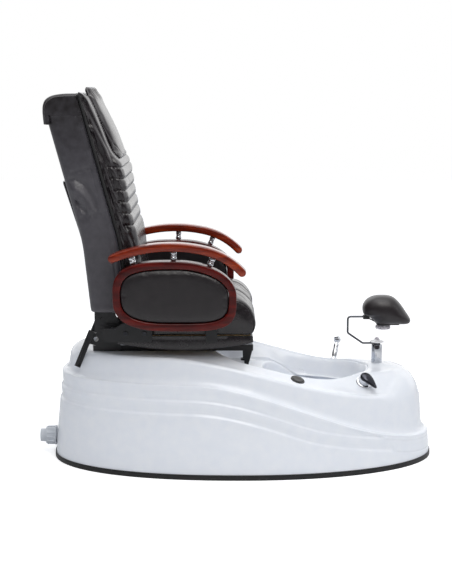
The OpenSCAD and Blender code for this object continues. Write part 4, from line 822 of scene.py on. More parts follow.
def swept(name, path, radius, sides=14, closed=False):
    """Round section of this radius in mm along a path. radius may be a list."""
    count = len(path)
    radii = radius if isinstance(radius, list) else [radius] * count
    rings, across = [], Vector((0, 1, 0))
    for k, here in enumerate(path):
        ahead = path[(k + 1) % count] if closed or k + 1 < count else here
        behind = path[k - 1] if closed or k > 0 else here
        way = (ahead - behind).normalized()
        across = (across - way * across.dot(way)).normalized()
        up = way.cross(across)
        rings.append([here + (across * math.cos(2 * math.pi * j / sides)
                              + up * math.sin(2 * math.pi * j / sides)) * radii[k] / 1000
                      for j in range(sides)])
    return loft(name, rings, "loop" if closed else "cap")


print("a quarter bend has", len(rounded_path(
    [Vector((0, 0, 0)), Vector((1, 0, 0)), Vector((1, 1, 0))], 9)), "points")

# %% [markdown]
# **Mixer tap.** One lever mixes and opens the water. The wide ring seals the hole
# in the deck, the drum on it turns, and the lever is a cast beak that starts as a
# cap over the drum and runs out to a thin rounded tip over the nose.

# %% Tap ring and drum
dress(turned("tap_ring", [(16.1, -18), (16.1, 4), (17.5, 5.4), (22, 5.6), (25.5, 4.9), (28.6, 3),
                          (29.8, 0.8), (30, -1), (30, -2.2), (19, -2.2), (19, -18)],
             tap_at, bored=True), "base", "chrome", chrome, "mixer_ring")
drum = turned("tap_drum", [(0.5, -21.5), (15.9, -21.5), (15.9, 5), (21, 5), (21.8, 5.8), (22, 7),
                           (21.4, 12), (21.4, 19), (22, 24), (21.4, 25.6), (19.5, 26), (0.5, 26)],
              tap_at)
turn = Matrix.Rotation(math.radians(-38), 4, "Z")
dress(drum, "mixer_turret", "chrome", chrome, "mixer_body")

# %% Tap lever
WIDTH = [(-22, 2), (-21, 8), (-17, 14.5), (-9, 20), (2, 22), (14, 20.5), (28, 15.5), (42, 10),
         (51, 6.6), (55, 4), (56, 1)]
TOP = [(-22, 31.5), (-21, 33.5), (-15, 37), (-4, 39.8), (8, 40), (22, 37.6), (38, 32.8), (50, 28),
       (56, 24.6)]
BOTTOM = [(-22, 30.5), (-20, 28.4), (-12, 27.6), (24, 27.6), (38, 25.6), (50, 23), (56, 23.8)]
stops = [-22, -21.4, -20, -17, -12, -6, 0, 6, 12, 18, 24, 30, 36, 42, 47, 51, 53.5, 55.2, 56]
rings = []
for x in stops:
    w, z1, z0 = along(WIDTH, x), along(TOP, x), along(BOTTOM, x)
    ring = []
    for k in range(40):
        a = 2 * math.pi * k / 40
        c, s = math.cos(a), math.sin(a)
        z = z0 + (z1 - z0) * abs(s) ** 0.85 if s > 0 else z0 - 1.4 * abs(s) * min(1, w / 12)
        ring.append(Vector((x, w * math.copysign(abs(c) ** 0.9, c), z)) / 1000)
    rings.append(ring)
beak = place(loft("tap_lever", rings), tap_at @ turn)
subdivide(beak)
# the lever is chrome, drawn in the dark copy of chrome as a painted dark reflection
dress(beak, "mixer_handle", "chrome", chrome_painted_dark, "mixer_lever", angle=50)

# %% [markdown]
# **Air button and hand spray.** The button is a glossy black cap with a dished top
# in a rolled bezel. The spray stands in a cone on a flange; its handle swells and
# narrows to fit the hand, and its head is a ball with a flat rose.

# %% Button
dress(turned("button_ring", [(20.1, -26), (20.1, 1.6), (20.8, 2.7), (22.6, 3.2), (25.2, 2.5),
                             (26.3, 0.9), (26.5, -2.2), (22.5, -2.2), (22.5, -26)],
             button_at, bored=True), "base", "black_plastic", abs_black, "button_bezel")
dress(turned("button_cap", [(0.5, -8), (19.9, -8), (19.9, 2.4), (19.3, 3.7), (17.4, 4.5),
                            (12, 4.1), (6, 3.6), (0.5, 3.5)], button_at),
      "button", "black_plastic", abs_black, "jet_button")

# %% Spray
dress(turned("spray_cone", [(6.6, -26), (6.6, 11), (7.6, 12.2), (9.6, 12.2), (10.9, 11.2),
                            (12.2, 6.5), (13.6, 3.9), (15.6, 3.5), (17.4, 2.8), (18, 1.2),
                            (18, -2.2), (9, -2.2), (9, -26)], spray_at, bored=True),
      "base", "chrome", chrome, "spray_holder")
handle = turned("spray_handle", [(0.5, -8), (6.2, -8), (6.2, 12.4), (8.6, 12.5), (9.6, 13.6),
                                 (10.6, 20), (11.2, 30), (10.9, 40), (9.7, 48), (9.9, 54),
                                 (10.6, 60), (10.2, 66), (8, 72), (6.6, 76), (0.5, 77)],
                spray_at, sides=48)
tilt = Matrix.Rotation(math.radians(200), 4, "Z") @ Matrix.Rotation(math.radians(30), 4, "Y")
rose = turned("spray_rose", [(0.5, -14.5), (5.5, -13.4), (10.2, -10.3), (13.4, -5.5), (14.5, 0),
                             (14, 4), (12.9, 5.2), (13.2, 8), (12.6, 11.4), (11.6, 12.4),
                             (10.6, 11.6), (0.5, 11.2)],
              spray_at @ Matrix.Translation((0, 0, 0.0862)) @ tilt, sides=48)
dress(join("spray_handle", [handle, rose]), "handset", "chrome", chrome, "spray_handset")

# %% [markdown]
# ## The footrest
#
# A chromed post stands on a swelling of the deck. A white cap with a wide brim turns
# in it and holds one bent rod, which rises clear of the sitter's toes and carries a
# padded rest under a clamp with a scalloped hand knob.

# %% Post, brim and button
EYE_Z, ROD_R, ROD_TOP = 428.05, 3.75, 531
dress(turned("chrome_post", [(0.5, 308), (12, 308), (12, 352.3), (20, 352.3), (20.5, 353.4),
                             (20.5, 422), (20, 423.4), (18.8, 424), (6.05, 424), (6.05, 378),
                             (0.5, 378)], post_at), "base", "chrome", chrome, "footrest_post")
dress(turned("collar_brim", [(0.5, 384), (6, 384.4), (6, 431.9), (24.5, 431.9), (26.8, 432.4),
                             (27.5, 433.6), (27.1, 435.2), (25, 436.6), (18, 439.4),
                             (11.5, 441.6), (9.2, 442.6), (0.5, 443)], post_at),
      "footrest_arm", "white_plastic", white_plastic, "footrest_collar")
dress(turned("collar_button", [(0.5, 443.1), (9.3, 443.1), (9.6, 444), (9, 446.2), (7.2, 448.6),
                               (4.4, 450.2), (0.5, 450.8)], post_at),
      "footrest_arm", "white_plastic", clear_plastic)

# %% Bent rod
corners = [at(POST_X - 12, 0, EYE_Z), at(POST_X - 55, 0, EYE_Z), at(POST_X - 113, 0, EYE_Z + 40),
           at(POST_X - 113, 0, ROD_TOP), at(POST_X - 26, 0, ROD_TOP)]
rod = swept("bent_rod", rounded_path(corners, 11), ROD_R, sides=20)
eye = turned("rod_eye", [(6.05, EYE_Z - ROD_R), (6.05, EYE_Z + ROD_R), (12.8, EYE_Z + ROD_R),
                         (13.8, EYE_Z + 2.6), (13.8, EYE_Z - 2.6), (12.8, EYE_Z - ROD_R)],
             post_at, bored=True, sides=32)
# the chrome rod is drawn in the dark copy, a painted dark reflection
dress(join("bent_rod", [rod, eye]), "footrest_arm", "chrome", rod_chrome_painted_dark, "footrest_rod")

# %% Scalloped knob
KNOB_TOP, KNOB_R, SCALLOPS = 498, 28.5, 12
rings = []
for scale, z in ((0.2, -14), (0.84, -14), (0.95, -13), (1, -11), (1, -3), (0.95, -1), (0.84, 0),
                 (0.62, 0), (0.56, -1.2), (0.3, -1.2), (0.24, 0), (0.2, 0)):
    ring = []
    for k in range(144):
        a = 2 * math.pi * k / 144
        dip = 3.2 * max(0, math.cos(SCALLOPS * a)) ** 1.5 * smooth((scale - 0.6) / 0.3)
        r = KNOB_R * scale - dip
        ring.append(at(POST_X + 22 + r * math.cos(a), r * math.sin(a), KNOB_TOP + z))
    rings.append(ring)
dress(loft("hand_knob", rings), "clamp_knob", "clear_knob", clear_plastic, "footrest_knob",
      angle=40)
dress(turned("knob_stud", [(0.5, -1), (4, -0.9), (4, 6.6), (3.4, 7), (0.5, 7)],
             Matrix.Translation(at(POST_X + 22, 0, KNOB_TOP)), sides=24),
      "clamp_knob", "zinc", zinc)

# %% [markdown]
# ## Upholstery
#
# Every padded piece is foam in a sewn leather-cloth cover. It is made the same way
# here: the cut shape is lofted a little small, its skin is evened out, and it is
# stuffed by a cloth simulation with air pressure inside. How far a point may swell
# is capped, because the foam fills the cover and does not balloon. Seams, channels
# and creases are pressed in afterwards, where the thread holds the skin down.

# %% Stuffing, seams and pipings
def points_of(piece):
    flat = np.empty(len(piece.data.vertices) * 3)
    piece.data.vertices.foreach_get("co", flat)
    return flat.reshape(-1, 3)


def set_points(piece, points):
    piece.data.vertices.foreach_set("co", points.ravel())
    piece.data.update()


def puffed(piece, voxel, cap, least=(-9, -9, -9), most=(9, 9, 9)):
    """Evens the skin to voxel mm and stuffs it. No point moves by more than cap mm."""
    m = piece.modifiers.new("even skin", "REMESH")
    m.mode = "VOXEL"
    m.voxel_size = voxel / 1000
    apply_all(piece)
    before = points_of(piece)
    m = piece.modifiers.new("stuffing", "CLOTH")
    m.settings.use_pressure = True
    m.settings.uniform_pressure_force = 4
    m.settings.effector_weights.gravity = 0
    for frame_number in range(1, 21):
        bpy.context.scene.frame_set(frame_number)
    apply_all(piece)
    bpy.context.scene.frame_set(1)
    move = points_of(piece) - before
    reach = np.maximum(np.linalg.norm(move, axis=1), 1e-9)[:, None]
    limit = cap / 1000
    set_points(piece, before + move / reach * limit * np.tanh(reach / limit))
    subdivide(piece)
    points = points_of(piece)
    set_points(piece, np.clip(points, np.array(least), np.array(most)))
    return piece


def pressed(piece, depth_at):
    """Moves points inwards by depth_at(x, y, z, normals) mm. x, y and z are in mm."""
    points = points_of(piece)
    flat = np.empty(len(piece.data.vertices) * 3)
    piece.data.vertices.foreach_get("normal", flat)
    normals = flat.reshape(-1, 3)
    depth = depth_at(points[:, 0] * 1000 - AHEAD, points[:, 1] * 1000, points[:, 2] * 1000, normals)
    set_points(piece, points - normals * depth[:, None] / 1000)
    return piece


def seam(distance, depth, width, swell=0.0):
    """A stitched line: a narrow nick in a wide soft valley."""
    return depth * np.exp(-(distance / width) ** 2) + swell * np.exp(-(distance / (4 * width)) ** 2)


def ramp(value, start, end):
    t = np.clip((value - start) / (end - start), 0, 1)
    return t * t * (3 - 2 * t)


def line_distance(x, z, corners):
    """Distance in mm from points x, z to a line through the corners."""
    best = np.full(len(x), 1e9)
    for (x0, z0), (x1, z1) in zip(corners, corners[1:]):
        dx, dz = x1 - x0, z1 - z0
        t = np.clip(((x - x0) * dx + (z - z0) * dz) / (dx * dx + dz * dz), 0, 1)
        best = np.minimum(best, np.hypot(x - x0 - t * dx, z - z0 - t * dz))
    return best


def piping(name, cushion, path, radius=2.2, proud=1.0):
    """A welt along a cushion's edge: the path is laid on the cushion's own skin."""
    laid = []
    for p in path:
        _, spot, normal, _ = cushion.closest_point_on_mesh(p)
        laid.append(spot + normal * proud / 1000)
    return swept(name, laid, radius, sides=10)


def smooth_line(corners, steps):
    """Catmull-Rom curve through the corners of an open line."""
    c = [corners[0]] + list(corners) + [corners[-1]]
    line = []
    for k in range(1, len(c) - 2):
        for j in range(steps):
            t = j / steps
            line.append(tuple(0.5 * (2 * c[k][i] + (c[k + 1][i] - c[k - 1][i]) * t
                                     + (2 * c[k - 1][i] - 5 * c[k][i] + 4 * c[k + 1][i]
                                        - c[k + 2][i]) * t * t
                                     + (3 * c[k][i] - c[k - 1][i] - 3 * c[k + 1][i]
                                        + c[k + 2][i]) * t ** 3) for i in (0, 1)))
    return line + [tuple(corners[-1])]


print("a seam 4 mm deep measures", seam(np.array([0.0, 3.0, 6.0]), 4, 3).round(2), "mm")

# %% [markdown]
# **Foot pad.** A short thick cushion with no seam in sight: one skin of leather
# cloth is pulled over a shaped foam block and stapled under the steel plate, so it
# is full at the heel end, humps in the middle and thins towards the toes.

# %% Foot pad
PAD_SIDE = [(-60, 30), (-58, 48), (-45, 67), (-25, 79.5), (-2, 84.5), (25, 85), (48, 82), (67, 73),
            (89, 50), (110, 20), (123, 1), (128.5, -13), (125, -24), (110, -29), (84, -29.5),
            (40, -30), (4, -29), (-10, -20), (-24, -6), (-36, 4), (-55, 10), (-60, 30)]
outline = smooth_line(PAD_SIDE, 5)[:-1]
rings = []
for k in range(-20, 21):
    s = math.sin(math.pi / 2 * k / 20.4)
    fill = max(0.05, (1 - abs(s) ** 2.6) ** 0.42) * 0.97
    rings.append([at(POST_X + lerp(34, x, fill), s * 64, ROD_TOP + max(lerp(22, z, fill), -30))
                  for x, z in outline])
foot_pad = puffed(loft("foot_pad", rings), 4, 3, least=(-9, -0.0655, (ROD_TOP - 30) / 1000))
dress(foot_pad, "footrest_head", "leather", pad_leather, "footrest_pad", angle=60)

# %% [markdown]
# ## The seat
#
# The seat cushion is a thick block: a top panel sewn from three strips that run
# from back to front, a welt along its edge, and plain boxing below. The strips
# wrap over the front edge. Two skirts hang from the pan's edge and hide the slide.

# %% Seat cushion
SEAT_FRONT, SEAT_TOP, SEAT_LOW, SEAT_HALF = 46, 655, 508, 270
SEAT_LEAST_Z, SEAT_MOST_Z = 0.5081, 0.6565
SEAT_SIDE = [(-396, SEAT_LOW - SEAT_TOP), (-398, -107), (-398, -50), (-392, -30), (-376, -18),
             (-300, -12), (-200, -7), (-150, -3), (-110, -1), (-80, -1), (-62, -3), (-46, -10),
             (-31, -22), (-18, -41), (-9, -63), (-3, -86), (0, -108), (-3, -122), (-10, -139),
             (-20, SEAT_LOW - SEAT_TOP)]
outline = smooth_line(SEAT_SIDE, 5)
outline += [(lerp(-20, -396, k / 16), SEAT_LOW - SEAT_TOP) for k in range(1, 16)]
rings = []
for s in (-1, -0.985, -0.96, -0.92, -0.8, -0.6, -0.4, -0.2, 0, 0.2, 0.4, 0.6, 0.8, 0.92, 0.96,
          0.985, 1):
    edge = abs(s)
    pull = 0.05 * ramp(np.array(edge), 0.93, 1.0) ** 2
    drop = 13 * edge ** 2.4
    ring = []
    for x, z in outline:
        low_part = smooth((z + 80) / 70)
        ring.append(at(SEAT_FRONT + lerp(x, -200, pull) - 2 * (1 - edge),
                       s * (SEAT_HALF - 5), SEAT_TOP - 4 + max(lerp(z, -75, pull)
                                                               - drop * low_part,
                                                               SEAT_LOW - SEAT_TOP + 4)))
    rings.append(ring)
seat = puffed(loft("seat_cushion", rings), 6, 7,
              least=((SEAT_FRONT - 398 + AHEAD) / 1000, -(SEAT_HALF - 0.5) / 1000, SEAT_LEAST_Z),
              most=((SEAT_FRONT + AHEAD) / 1000, (SEAT_HALF - 0.5) / 1000, SEAT_MOST_Z))


def seat_seams(x, y, z, normals):
    top = ramp(normals[:, 2] + 0.9 * normals[:, 0], 0.25, 0.7) * ramp(z, 525, 555)
    strips = sum(seam(y - side * 92, 4.0, 3.2, 5.0) for side in (-1, 1))
    tuck = 2.2 * np.sin(x / 11) * np.exp(-((np.abs(y) - 92) / 26) ** 2)
    side = ramp(np.abs(normals[:, 1]), 0.4, 0.8)
    dimple = 1.6 * np.sin(x / 23 + 0.6 * np.sin(z / 31)) * side * ramp(z, 645, 560)
    front = ramp(normals[:, 0], 0.5, 0.9) * ramp(z, 600, 560)
    return top * (strips + tuck * 0.35) + dimple * 0.6 + front * 1.2 * np.sin(y / 37)


pressed(seat, seat_seams)
dress(seat, "seat", "leather", black_leather, "seat_cushion", angle=60)

# %% Welts along the seat's edges
def seat_edge(side):
    line = smooth_line(SEAT_SIDE[3:18], 6)
    return [at(SEAT_FRONT + x, side * (SEAT_HALF - 4), SEAT_TOP - 12 + z) for x, z in line]


for side, label in ((-1, "right"), (1, "left")):
    welt = piping("seat_welt_" + label, seat, seat_edge(side), 2.3, 1.1)
    dress(welt, "seat", "leather", black_leather, angle=60)

# %% Skirts
RAIL_TOP, SKIRT_TOP = 452.3, 507.7


def skirt_low(t):
    return SKIRT_TOP - (SKIRT_TOP - RAIL_TOP) * (0.5 + 0.46 * math.sin(math.pi * t))


rings = []
for k in range(61):
    t = k / 60
    x, foot = lerp(-462, SEAT_FRONT - 24, t), skirt_low(t)
    ring = []
    for u, out in ((0, 0.5), (0.06, 2.6), (0.3, 0.8), (0.6, 0.0), (0.85, 0.6), (0.96, 2.6),
                   (1, 5), (0.96, 8), (0.6, 9.6), (0.3, 9.6), (0.06, 9.6), (0, 9.6)):
        ring.append(at(x, -(SEAT_HALF - out), lerp(SKIRT_TOP, foot, u)))
    rings.append(ring)
dress_pair(loft("skirt_right", rings), "leather", black_leather, "seat_skirts", angle=50)
rings = []
for k in range(31):
    y = lerp(-SEAT_HALF + 8, SEAT_HALF - 8, k / 30)
    dip = 2.5 * math.sin(math.pi * k / 30)
    rings.append([at(SEAT_FRONT - 24 + x, y, z) for x, z in
                  ((0.3, 507.5), (0.3, 483), (3, 482.7 - dip), (7, 482.8 - dip), (9, 485),
                   (9.1, 495), (8.6, 503), (6.5, 507), (3, 507.6))])
dress(loft("skirt_front", rings), "seat", "leather", black_leather, angle=50)

# %% [markdown]
# ## The arms
#
# Each arm is a wide hoop of bent, laminated beech with a padded panel in its
# middle. Three turned chrome posts stand on the hoop and carry a rail bent to two
# radii, long over the elbow and short over the hand.

# %% Hoops
RING_C, RING_A, RING_B, RING_T, ARM_IN, ARM_W = (-251, 666), 220, 125, 27, 294.5, 60


def hoop_point(angle, off):
    quarter = int(angle / (math.pi / 2) + 1e-9) % 4
    u = oval(angle, (2.05, 3.1, 2.8, 4)[quarter])
    return (RING_C[0] + (RING_A + off) * u[0], RING_C[1] + (RING_B + off) * u[1])


def rounded_box(half_u, half_v, r, steps=4):
    """Points round a rectangle with rounded corners, as (u, v) pairs."""
    ring = []
    for k, (cu, cv) in enumerate(((1, 1), (-1, 1), (-1, -1), (1, -1))):
        for j in range(steps + 1):
            a = math.pi / 2 * (k + j / steps)
            ring.append((cu * (half_u - r) + r * math.cos(a), cv * (half_v - r) + r * math.sin(a)))
    return ring


section = rounded_box(RING_T / 2, ARM_W / 2, 4.5)
rings = []
for k in range(160):
    angle = 2 * math.pi * k / 160
    ring = []
    for u, v in section:
        x, z = hoop_point(angle, u - RING_T / 2)
        ring.append(at(x, -(ARM_IN + ARM_W / 2 + v), z))
    rings.append(ring)
dress_pair(loft("hoop_right", rings, "loop"), "mahogany", ring_wood, "arm_rings")

# %% Rails
RAIL_R, HAND_R, RAIL_T, POST_L = 520, 250, 29, 36
BLEND, REAR_END, FRONT_END = (math.radians(a) for a in (12.8, 22.7, 47))
crest = (-265, RING_C[1] + RING_B + POST_L)
elbow_c = (crest[0], crest[1] - RAIL_R)
hand_c = (elbow_c[0] + (RAIL_R - HAND_R) * math.sin(BLEND),
          elbow_c[1] + (RAIL_R - HAND_R) * math.cos(BLEND))


def rail_under(angle):
    """Point under the rail, where it leans by this angle from upright."""
    c, r = (elbow_c, RAIL_R) if angle < BLEND else (hand_c, HAND_R)
    return (c[0] + r * math.sin(angle), c[1] + r * math.cos(angle))


stations = []
TIP = RAIL_T / 2
for k in range(7):
    a = math.pi / 2 * (1 - k / 6)
    stations.append((-REAR_END, -TIP * math.sin(a), max(0.12, math.cos(a))))
stations += [(lerp(-REAR_END, FRONT_END, k / 60), 0, 1) for k in range(1, 60)]
for k in range(7):
    a = math.pi / 2 * k / 6
    stations.append((FRONT_END, TIP * math.sin(a), max(0.12, math.cos(a))))
rings = []
for angle, ahead, full in stations:
    x, z = rail_under(angle)
    up, out = (math.sin(angle), math.cos(angle)), (math.cos(angle), -math.sin(angle))
    ring = []
    for u, v in rounded_box(TIP * full, ARM_W / 2 - 5 * (1 - full), min(6, TIP * full * 0.8)):
        ring.append(at(x + up[0] * (TIP + u) + out[0] * ahead,
                       -(ARM_IN + ARM_W / 2 + v), z + up[1] * (TIP + u) + out[1] * ahead))
    rings.append(ring)
dress_pair(loft("rail_right", rings), "mahogany", rail_wood, "arm_rails")

# %% Turned posts
def hoop_gap(x, z, dx, dz):
    """How far the hoop's outside lies from x, z along dx, dz, found by halving."""
    near, far = 0.0, 80.0
    for _ in range(24):
        mid = (near + far) / 2
        du, dv = x + mid * dx - RING_C[0], z + mid * dz - RING_C[1]
        power = 2.05 if du > 0 else 3.1
        inside = (abs(du) / RING_A) ** power + (abs(dv) / RING_B) ** power < 1
        near, far = (near, mid) if inside else (mid, far)
    return near


posts = []
for degrees in (-15.6, 1.2, 21.2):
    lean_by = math.radians(degrees)
    x, z = rail_under(lean_by)
    l = hoop_gap(x, z, -math.sin(lean_by), -math.cos(lean_by)) - 0.5
    outline, ball = [(0.5, 0.2)], 11.5
    for k in range(33):
        h = 0.2 + (l - 0.4) * k / 32
        from_ball = min(abs(h - 8.4), abs(h - l + 8.4))
        r = math.sqrt(max(ball ** 2 - from_ball ** 2, 7.6 ** 2))
        outline.append((max(r, 10) if abs(h - l / 2) < 1.7 else r, h))
    outline.append((0.5, l - 0.2))
    where = (Matrix.Translation(at(x, -(ARM_IN + ARM_W / 2), z))
             @ Matrix.Rotation(lean_by + math.pi, 4, "Y"))
    posts.append(turned("arm_post", outline, where, sides=32))
dress_pair(join("arm_posts_right", posts), "chrome", chrome, "arm_posts", angle=40)

# %% Padded panels
OUTER = ARM_IN + ARM_W
rings = []
for off, y in ((30, ARM_IN + 14), (2, ARM_IN + 14), (0, ARM_IN + 17), (0, OUTER - 9),
               (1, OUTER - 6.5), (3.5, OUTER - 4.2), (8, OUTER - 2.4), (16, OUTER - 1),
               (30, OUTER), (48, OUTER + 0.4), (70, OUTER + 0.6)):
    rings.append([at(p[0], -y, p[1]) for p in
                  (hoop_point(2 * math.pi * k / 120, -RING_T - 0.4 - off) for k in range(120))])
panel_right = puffed(loft("arm_panel_right", rings), 3, 2.0,
                     least=(-9, -(OUTER + 2.5) / 1000, -9), most=(9, -(ARM_IN + 13) / 1000, 9))
for panel in dress_pair(panel_right, "leather", panel_leather, "arm_panels", angle=60):
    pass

# %% [markdown]
# ## The backrest
#
# A hard casing closed at the sides and rear holds the massage drive. It is covered
# in leather cloth that closes in front with a zip down each side, under a raised
# placket. A fitted hood covers its top and hangs down behind, the front cushion
# covers the rollers, and a leaf-shaped pillow hangs over its upper part.

# %% Lines that the back follows
LEAN_LOW, LEAN_UP, BEND_Z, BEND_R = math.radians(6), math.radians(15), 848, 45
CASING_D, BACK_LOW, BACK_HIGH, BACK_HALF = 130, 595, 1300, 270


def seam_x(z):
    """Where the casing meets the front cushion, at height z."""
    past = z - BEND_Z
    climb = 0 if past < -BEND_R else past if past > BEND_R else (past + BEND_R) ** 2 / (4 * BEND_R)
    return -428 - math.tan(LEAN_LOW) * (z - 595) - (math.tan(LEAN_UP) - math.tan(LEAN_LOW)) * climb


seam_line = np.vectorize(seam_x)
print("seam at the top", round(seam_x(BACK_HIGH)), "mm")

# %% Casing and its cover
def casing_ring(z, tuck):
    """U-shaped section, outside then inside. tuck draws the ends in at top and bottom."""
    front, rear, half, c, t = seam_x(z), seam_x(z) - CASING_D, BACK_HALF - tuck, 32, 10
    side = [(lerp(front, rear + c, k / 26), -half) for k in range(26)]
    side += [(rear + tuck * 0.6 + c * (1 - math.sin(a)), -half + c * (1 - math.cos(a)))
             for a in (math.pi / 2 * k / 8 for k in range(9))]
    outer = side + [(rear + tuck * 0.6, lerp(-half + c, half - c, k / 30)) for k in range(1, 30)]
    outer += [(x, -y) for x, y in reversed(side)]
    inner = [(front, half - t)] + [(rear + t + c * 0.7 * (1 - math.sin(a)),
                                    half - t - c * 0.7 * (1 - math.cos(a)))
                                   for a in (math.pi / 2 * k / 4 for k in range(5))]
    inner += [(x, -y) for x, y in reversed(inner)]
    return [at(x, y, z) for x, y in outer + inner]


rings = [casing_ring(BACK_LOW + 1.2 * k * k, 5 * (1 - k / 4) ** 2) for k in range(4)]
rings += [casing_ring(lerp(BACK_LOW + 16, BACK_HIGH - 4, k / 86), 0) for k in range(87)]
rings += [casing_ring(BACK_HIGH, 0)]
casing = loft("casing_cover", rings)
UPPER_SEAM, LOWER_SEAM = [(-643, 1089), (-560, 1113), (-546, 1117)], [(-600, 929), (-501, 959)]
FOLDS = [([(-634, 1070), (-604, 1078), (-570, 1056), (-545, 1014), (-532, 972)], 7.5, 9),
         ([(-622, 1010), (-598, 988), (-574, 964), (-562, 944)], 9, 8),
         ([(-642, 1062), (-628, 1024), (-612, 996), (-600, 960)], 5.5, 9),
         ([(-606, 1040), (-582, 1022), (-560, 990), (-548, 958)], -7, 12),
         ([(-628, 1046), (-612, 1016), (-596, 1004)], -5.5, 9)]


def casing_sewing(x, y, z, normals):
    side = ramp(np.abs(normals[:, 1]), 0.7, 0.95) * (np.abs(y) > BACK_HALF - 4)
    inset = seam_line(z) - x
    depth = sum(seam(line_distance(x, z, line), 3.6, 3.4, 0.8) for line in (UPPER_SEAM, LOWER_SEAM))
    loose = ramp(z, 935, 965) * ramp(z, 1104, 1080) * ramp(inset, 22, 34)
    for line, deep, width in FOLDS:
        depth = depth + loose * deep * np.exp(-(line_distance(x, z, line) / width) ** 2)
    placket = seam(inset - 23, 1.6, 2.5) + 3.2 * np.exp(-((inset - 1) / 6) ** 2)
    bow = 1.2 * np.sin((z - 640) / 95) * ramp(inset, 24, 50) * ramp(inset, 128, 100)
    ends = ramp(z, 598, 630)
    return side * ends * (depth + placket + bow + 2.2 * ramp(z, 1290, 1230))


pressed(casing, casing_sewing)
# the casing and the hood take the paler copy of the leather, with painted light and painted shade at
# the top
dress(casing, "back", "leather", casing_leather_painted_light_and_shade, "back_casing", angle=50)

# %% Hood with its hanging flap
FLAP_Z = BACK_HIGH - 32
hx = seam_x(FLAP_Z) - CASING_D
TOP_Z = BACK_HIGH + 76
HOOD_SIDE = [(hx - 0.8, FLAP_Z), (hx - 14, FLAP_Z + 0.5), (hx - 16, FLAP_Z + 6),
             (hx - 18.6, FLAP_Z + 36), (hx - 19, FLAP_Z + 52), (hx - 17.4, FLAP_Z + 68),
             (hx - 11, FLAP_Z + 84), (hx, FLAP_Z + 94), (hx + 16, FLAP_Z + 101),
             (hx + 36, FLAP_Z + 105), (hx + 62, FLAP_Z + 107.6), (hx + 100, FLAP_Z + 108),
             (seam_x(TOP_Z) - 3, TOP_Z), (seam_x(TOP_Z - 3), TOP_Z - 3)]
FOOT_SIDE = [(seam_x(BACK_HIGH + 0.4), BACK_HIGH + 0.4),
             (seam_x(BACK_HIGH) - CASING_D - 0.8, BACK_HIGH + 0.4), (hx - 0.8, FLAP_Z + 28)]
hood_outline = smooth_line(HOOD_SIDE, 3)
hood_outline += [(lerp(hood_outline[-1][0], FOOT_SIDE[0][0], k / 8),
                  lerp(hood_outline[-1][1], FOOT_SIDE[0][1], k / 8)) for k in range(1, 8)]
hood_outline += [(lerp(FOOT_SIDE[0][0], FOOT_SIDE[1][0], k / 12), FOOT_SIDE[0][1])
                 for k in range(12)] + FOOT_SIDE[1:]
rings = []
for k in range(-24, 25):
    s = k / 24
    y = BACK_HALF * math.copysign(1 - (1 - abs(s)) ** 1.6, s)
    round_off = 9 * smooth((abs(y) - 252) / 18) ** 2
    ring = []
    for x, z in hood_outline:
        above = smooth((z - BACK_HIGH - 20) / 60)
        behind = smooth((hx + 30 - x) / 40)
        sag = 1.4 * math.sin(y / 31) * above + 1.2 * math.sin(y / 23 + 1) * behind
        ring.append(at(x + round_off * behind, y, z - round_off * above - sag * above))
    rings.append(ring)
hood = loft("hood", rings)
dress(hood, "back", "leather", casing_leather_painted_light_and_shade, "back_hood", angle=50)

# %% Rear cover
z0, z1 = BEND_Z + 2, BEND_Z + 215
rings = []
for k in range(-20, 21):
    y = 200 * k / 20
    edge = smooth((abs(y) - 186) / 14)
    ring = []
    for j in range(25):
        z = lerp(z0, z1, j / 24)
        end = max(smooth((z0 + 8 - z) / 8), smooth((z - z1 + 8) / 8))
        thick = lerp(7, 17, j / 24) - 2 * end - 4 * edge
        ring.append(at(seam_x(z) - CASING_D - thick, y, z))
    ring += [at(seam_x(z) - CASING_D - 0.9, y, z) for z in (z1, lerp(z0, z1, 0.5), z0)]
    rings.append(ring)
dress(loft("rear_cover", rings), "back", "leather", black_leather, "rear_cover", angle=50)

# %% [markdown]
# **Front cushion.** Soft foam in a thin skin, so that the rollers are felt. Where the
# shoulders rest it is channelled across into six rolls. Below them the skin is
# gathered over the lumbar bulge, and at the sides it is pulled round in long
# loose creases that start at the zip.

# %% Front cushion
RIB_LOW, RIB_PITCH, RIBS = 908, 41.4, 5
BACK_LEAST_Z, BACK_MOST_Z, BACK_MOST_Y = 0.6122, 1.3925, 0.2697
COVER = [(612, 30), (622, 50), (634, 60), (660, 67), (700, 71), (920, 71), (1000, 76), (1108, 88),
         (1128, 86), (1146, 73), (1165, 60), (1200, 54), (1240, 50), (1310, 41), (1361, 32),
         (1384, 20), (1392, 8)]
rings = []
stations = [math.sin(math.pi / 2 * k / 14) for k in range(-14, 15)]
heights = [lerp(612, 1392, k / 100) for k in range(101)]
for s in stations:
    round_off = 1 - 0.10 * ramp(np.array(abs(s)), 0.80, 0.93) - 0.6 * ramp(np.array(abs(s)), 0.93, 1)
    front = [at(seam_x(z) + 1.5 + max(3, (along(COVER, z) - 6) * float(round_off)),
                s * (BACK_HALF - 6), z) for z in heights]
    rear = [at(seam_x(z) + 1.2, s * (BACK_HALF - 6), z) for z in reversed(heights[1:-1:3])]
    rings.append(front + rear)
front_cushion = puffed(loft("front_cushion", rings), 6, 8,
                       least=(-9, -(BACK_HALF - 0.5) / 1000, BACK_LEAST_Z),
                       most=(9, (BACK_HALF - 0.5) / 1000, BACK_MOST_Z))


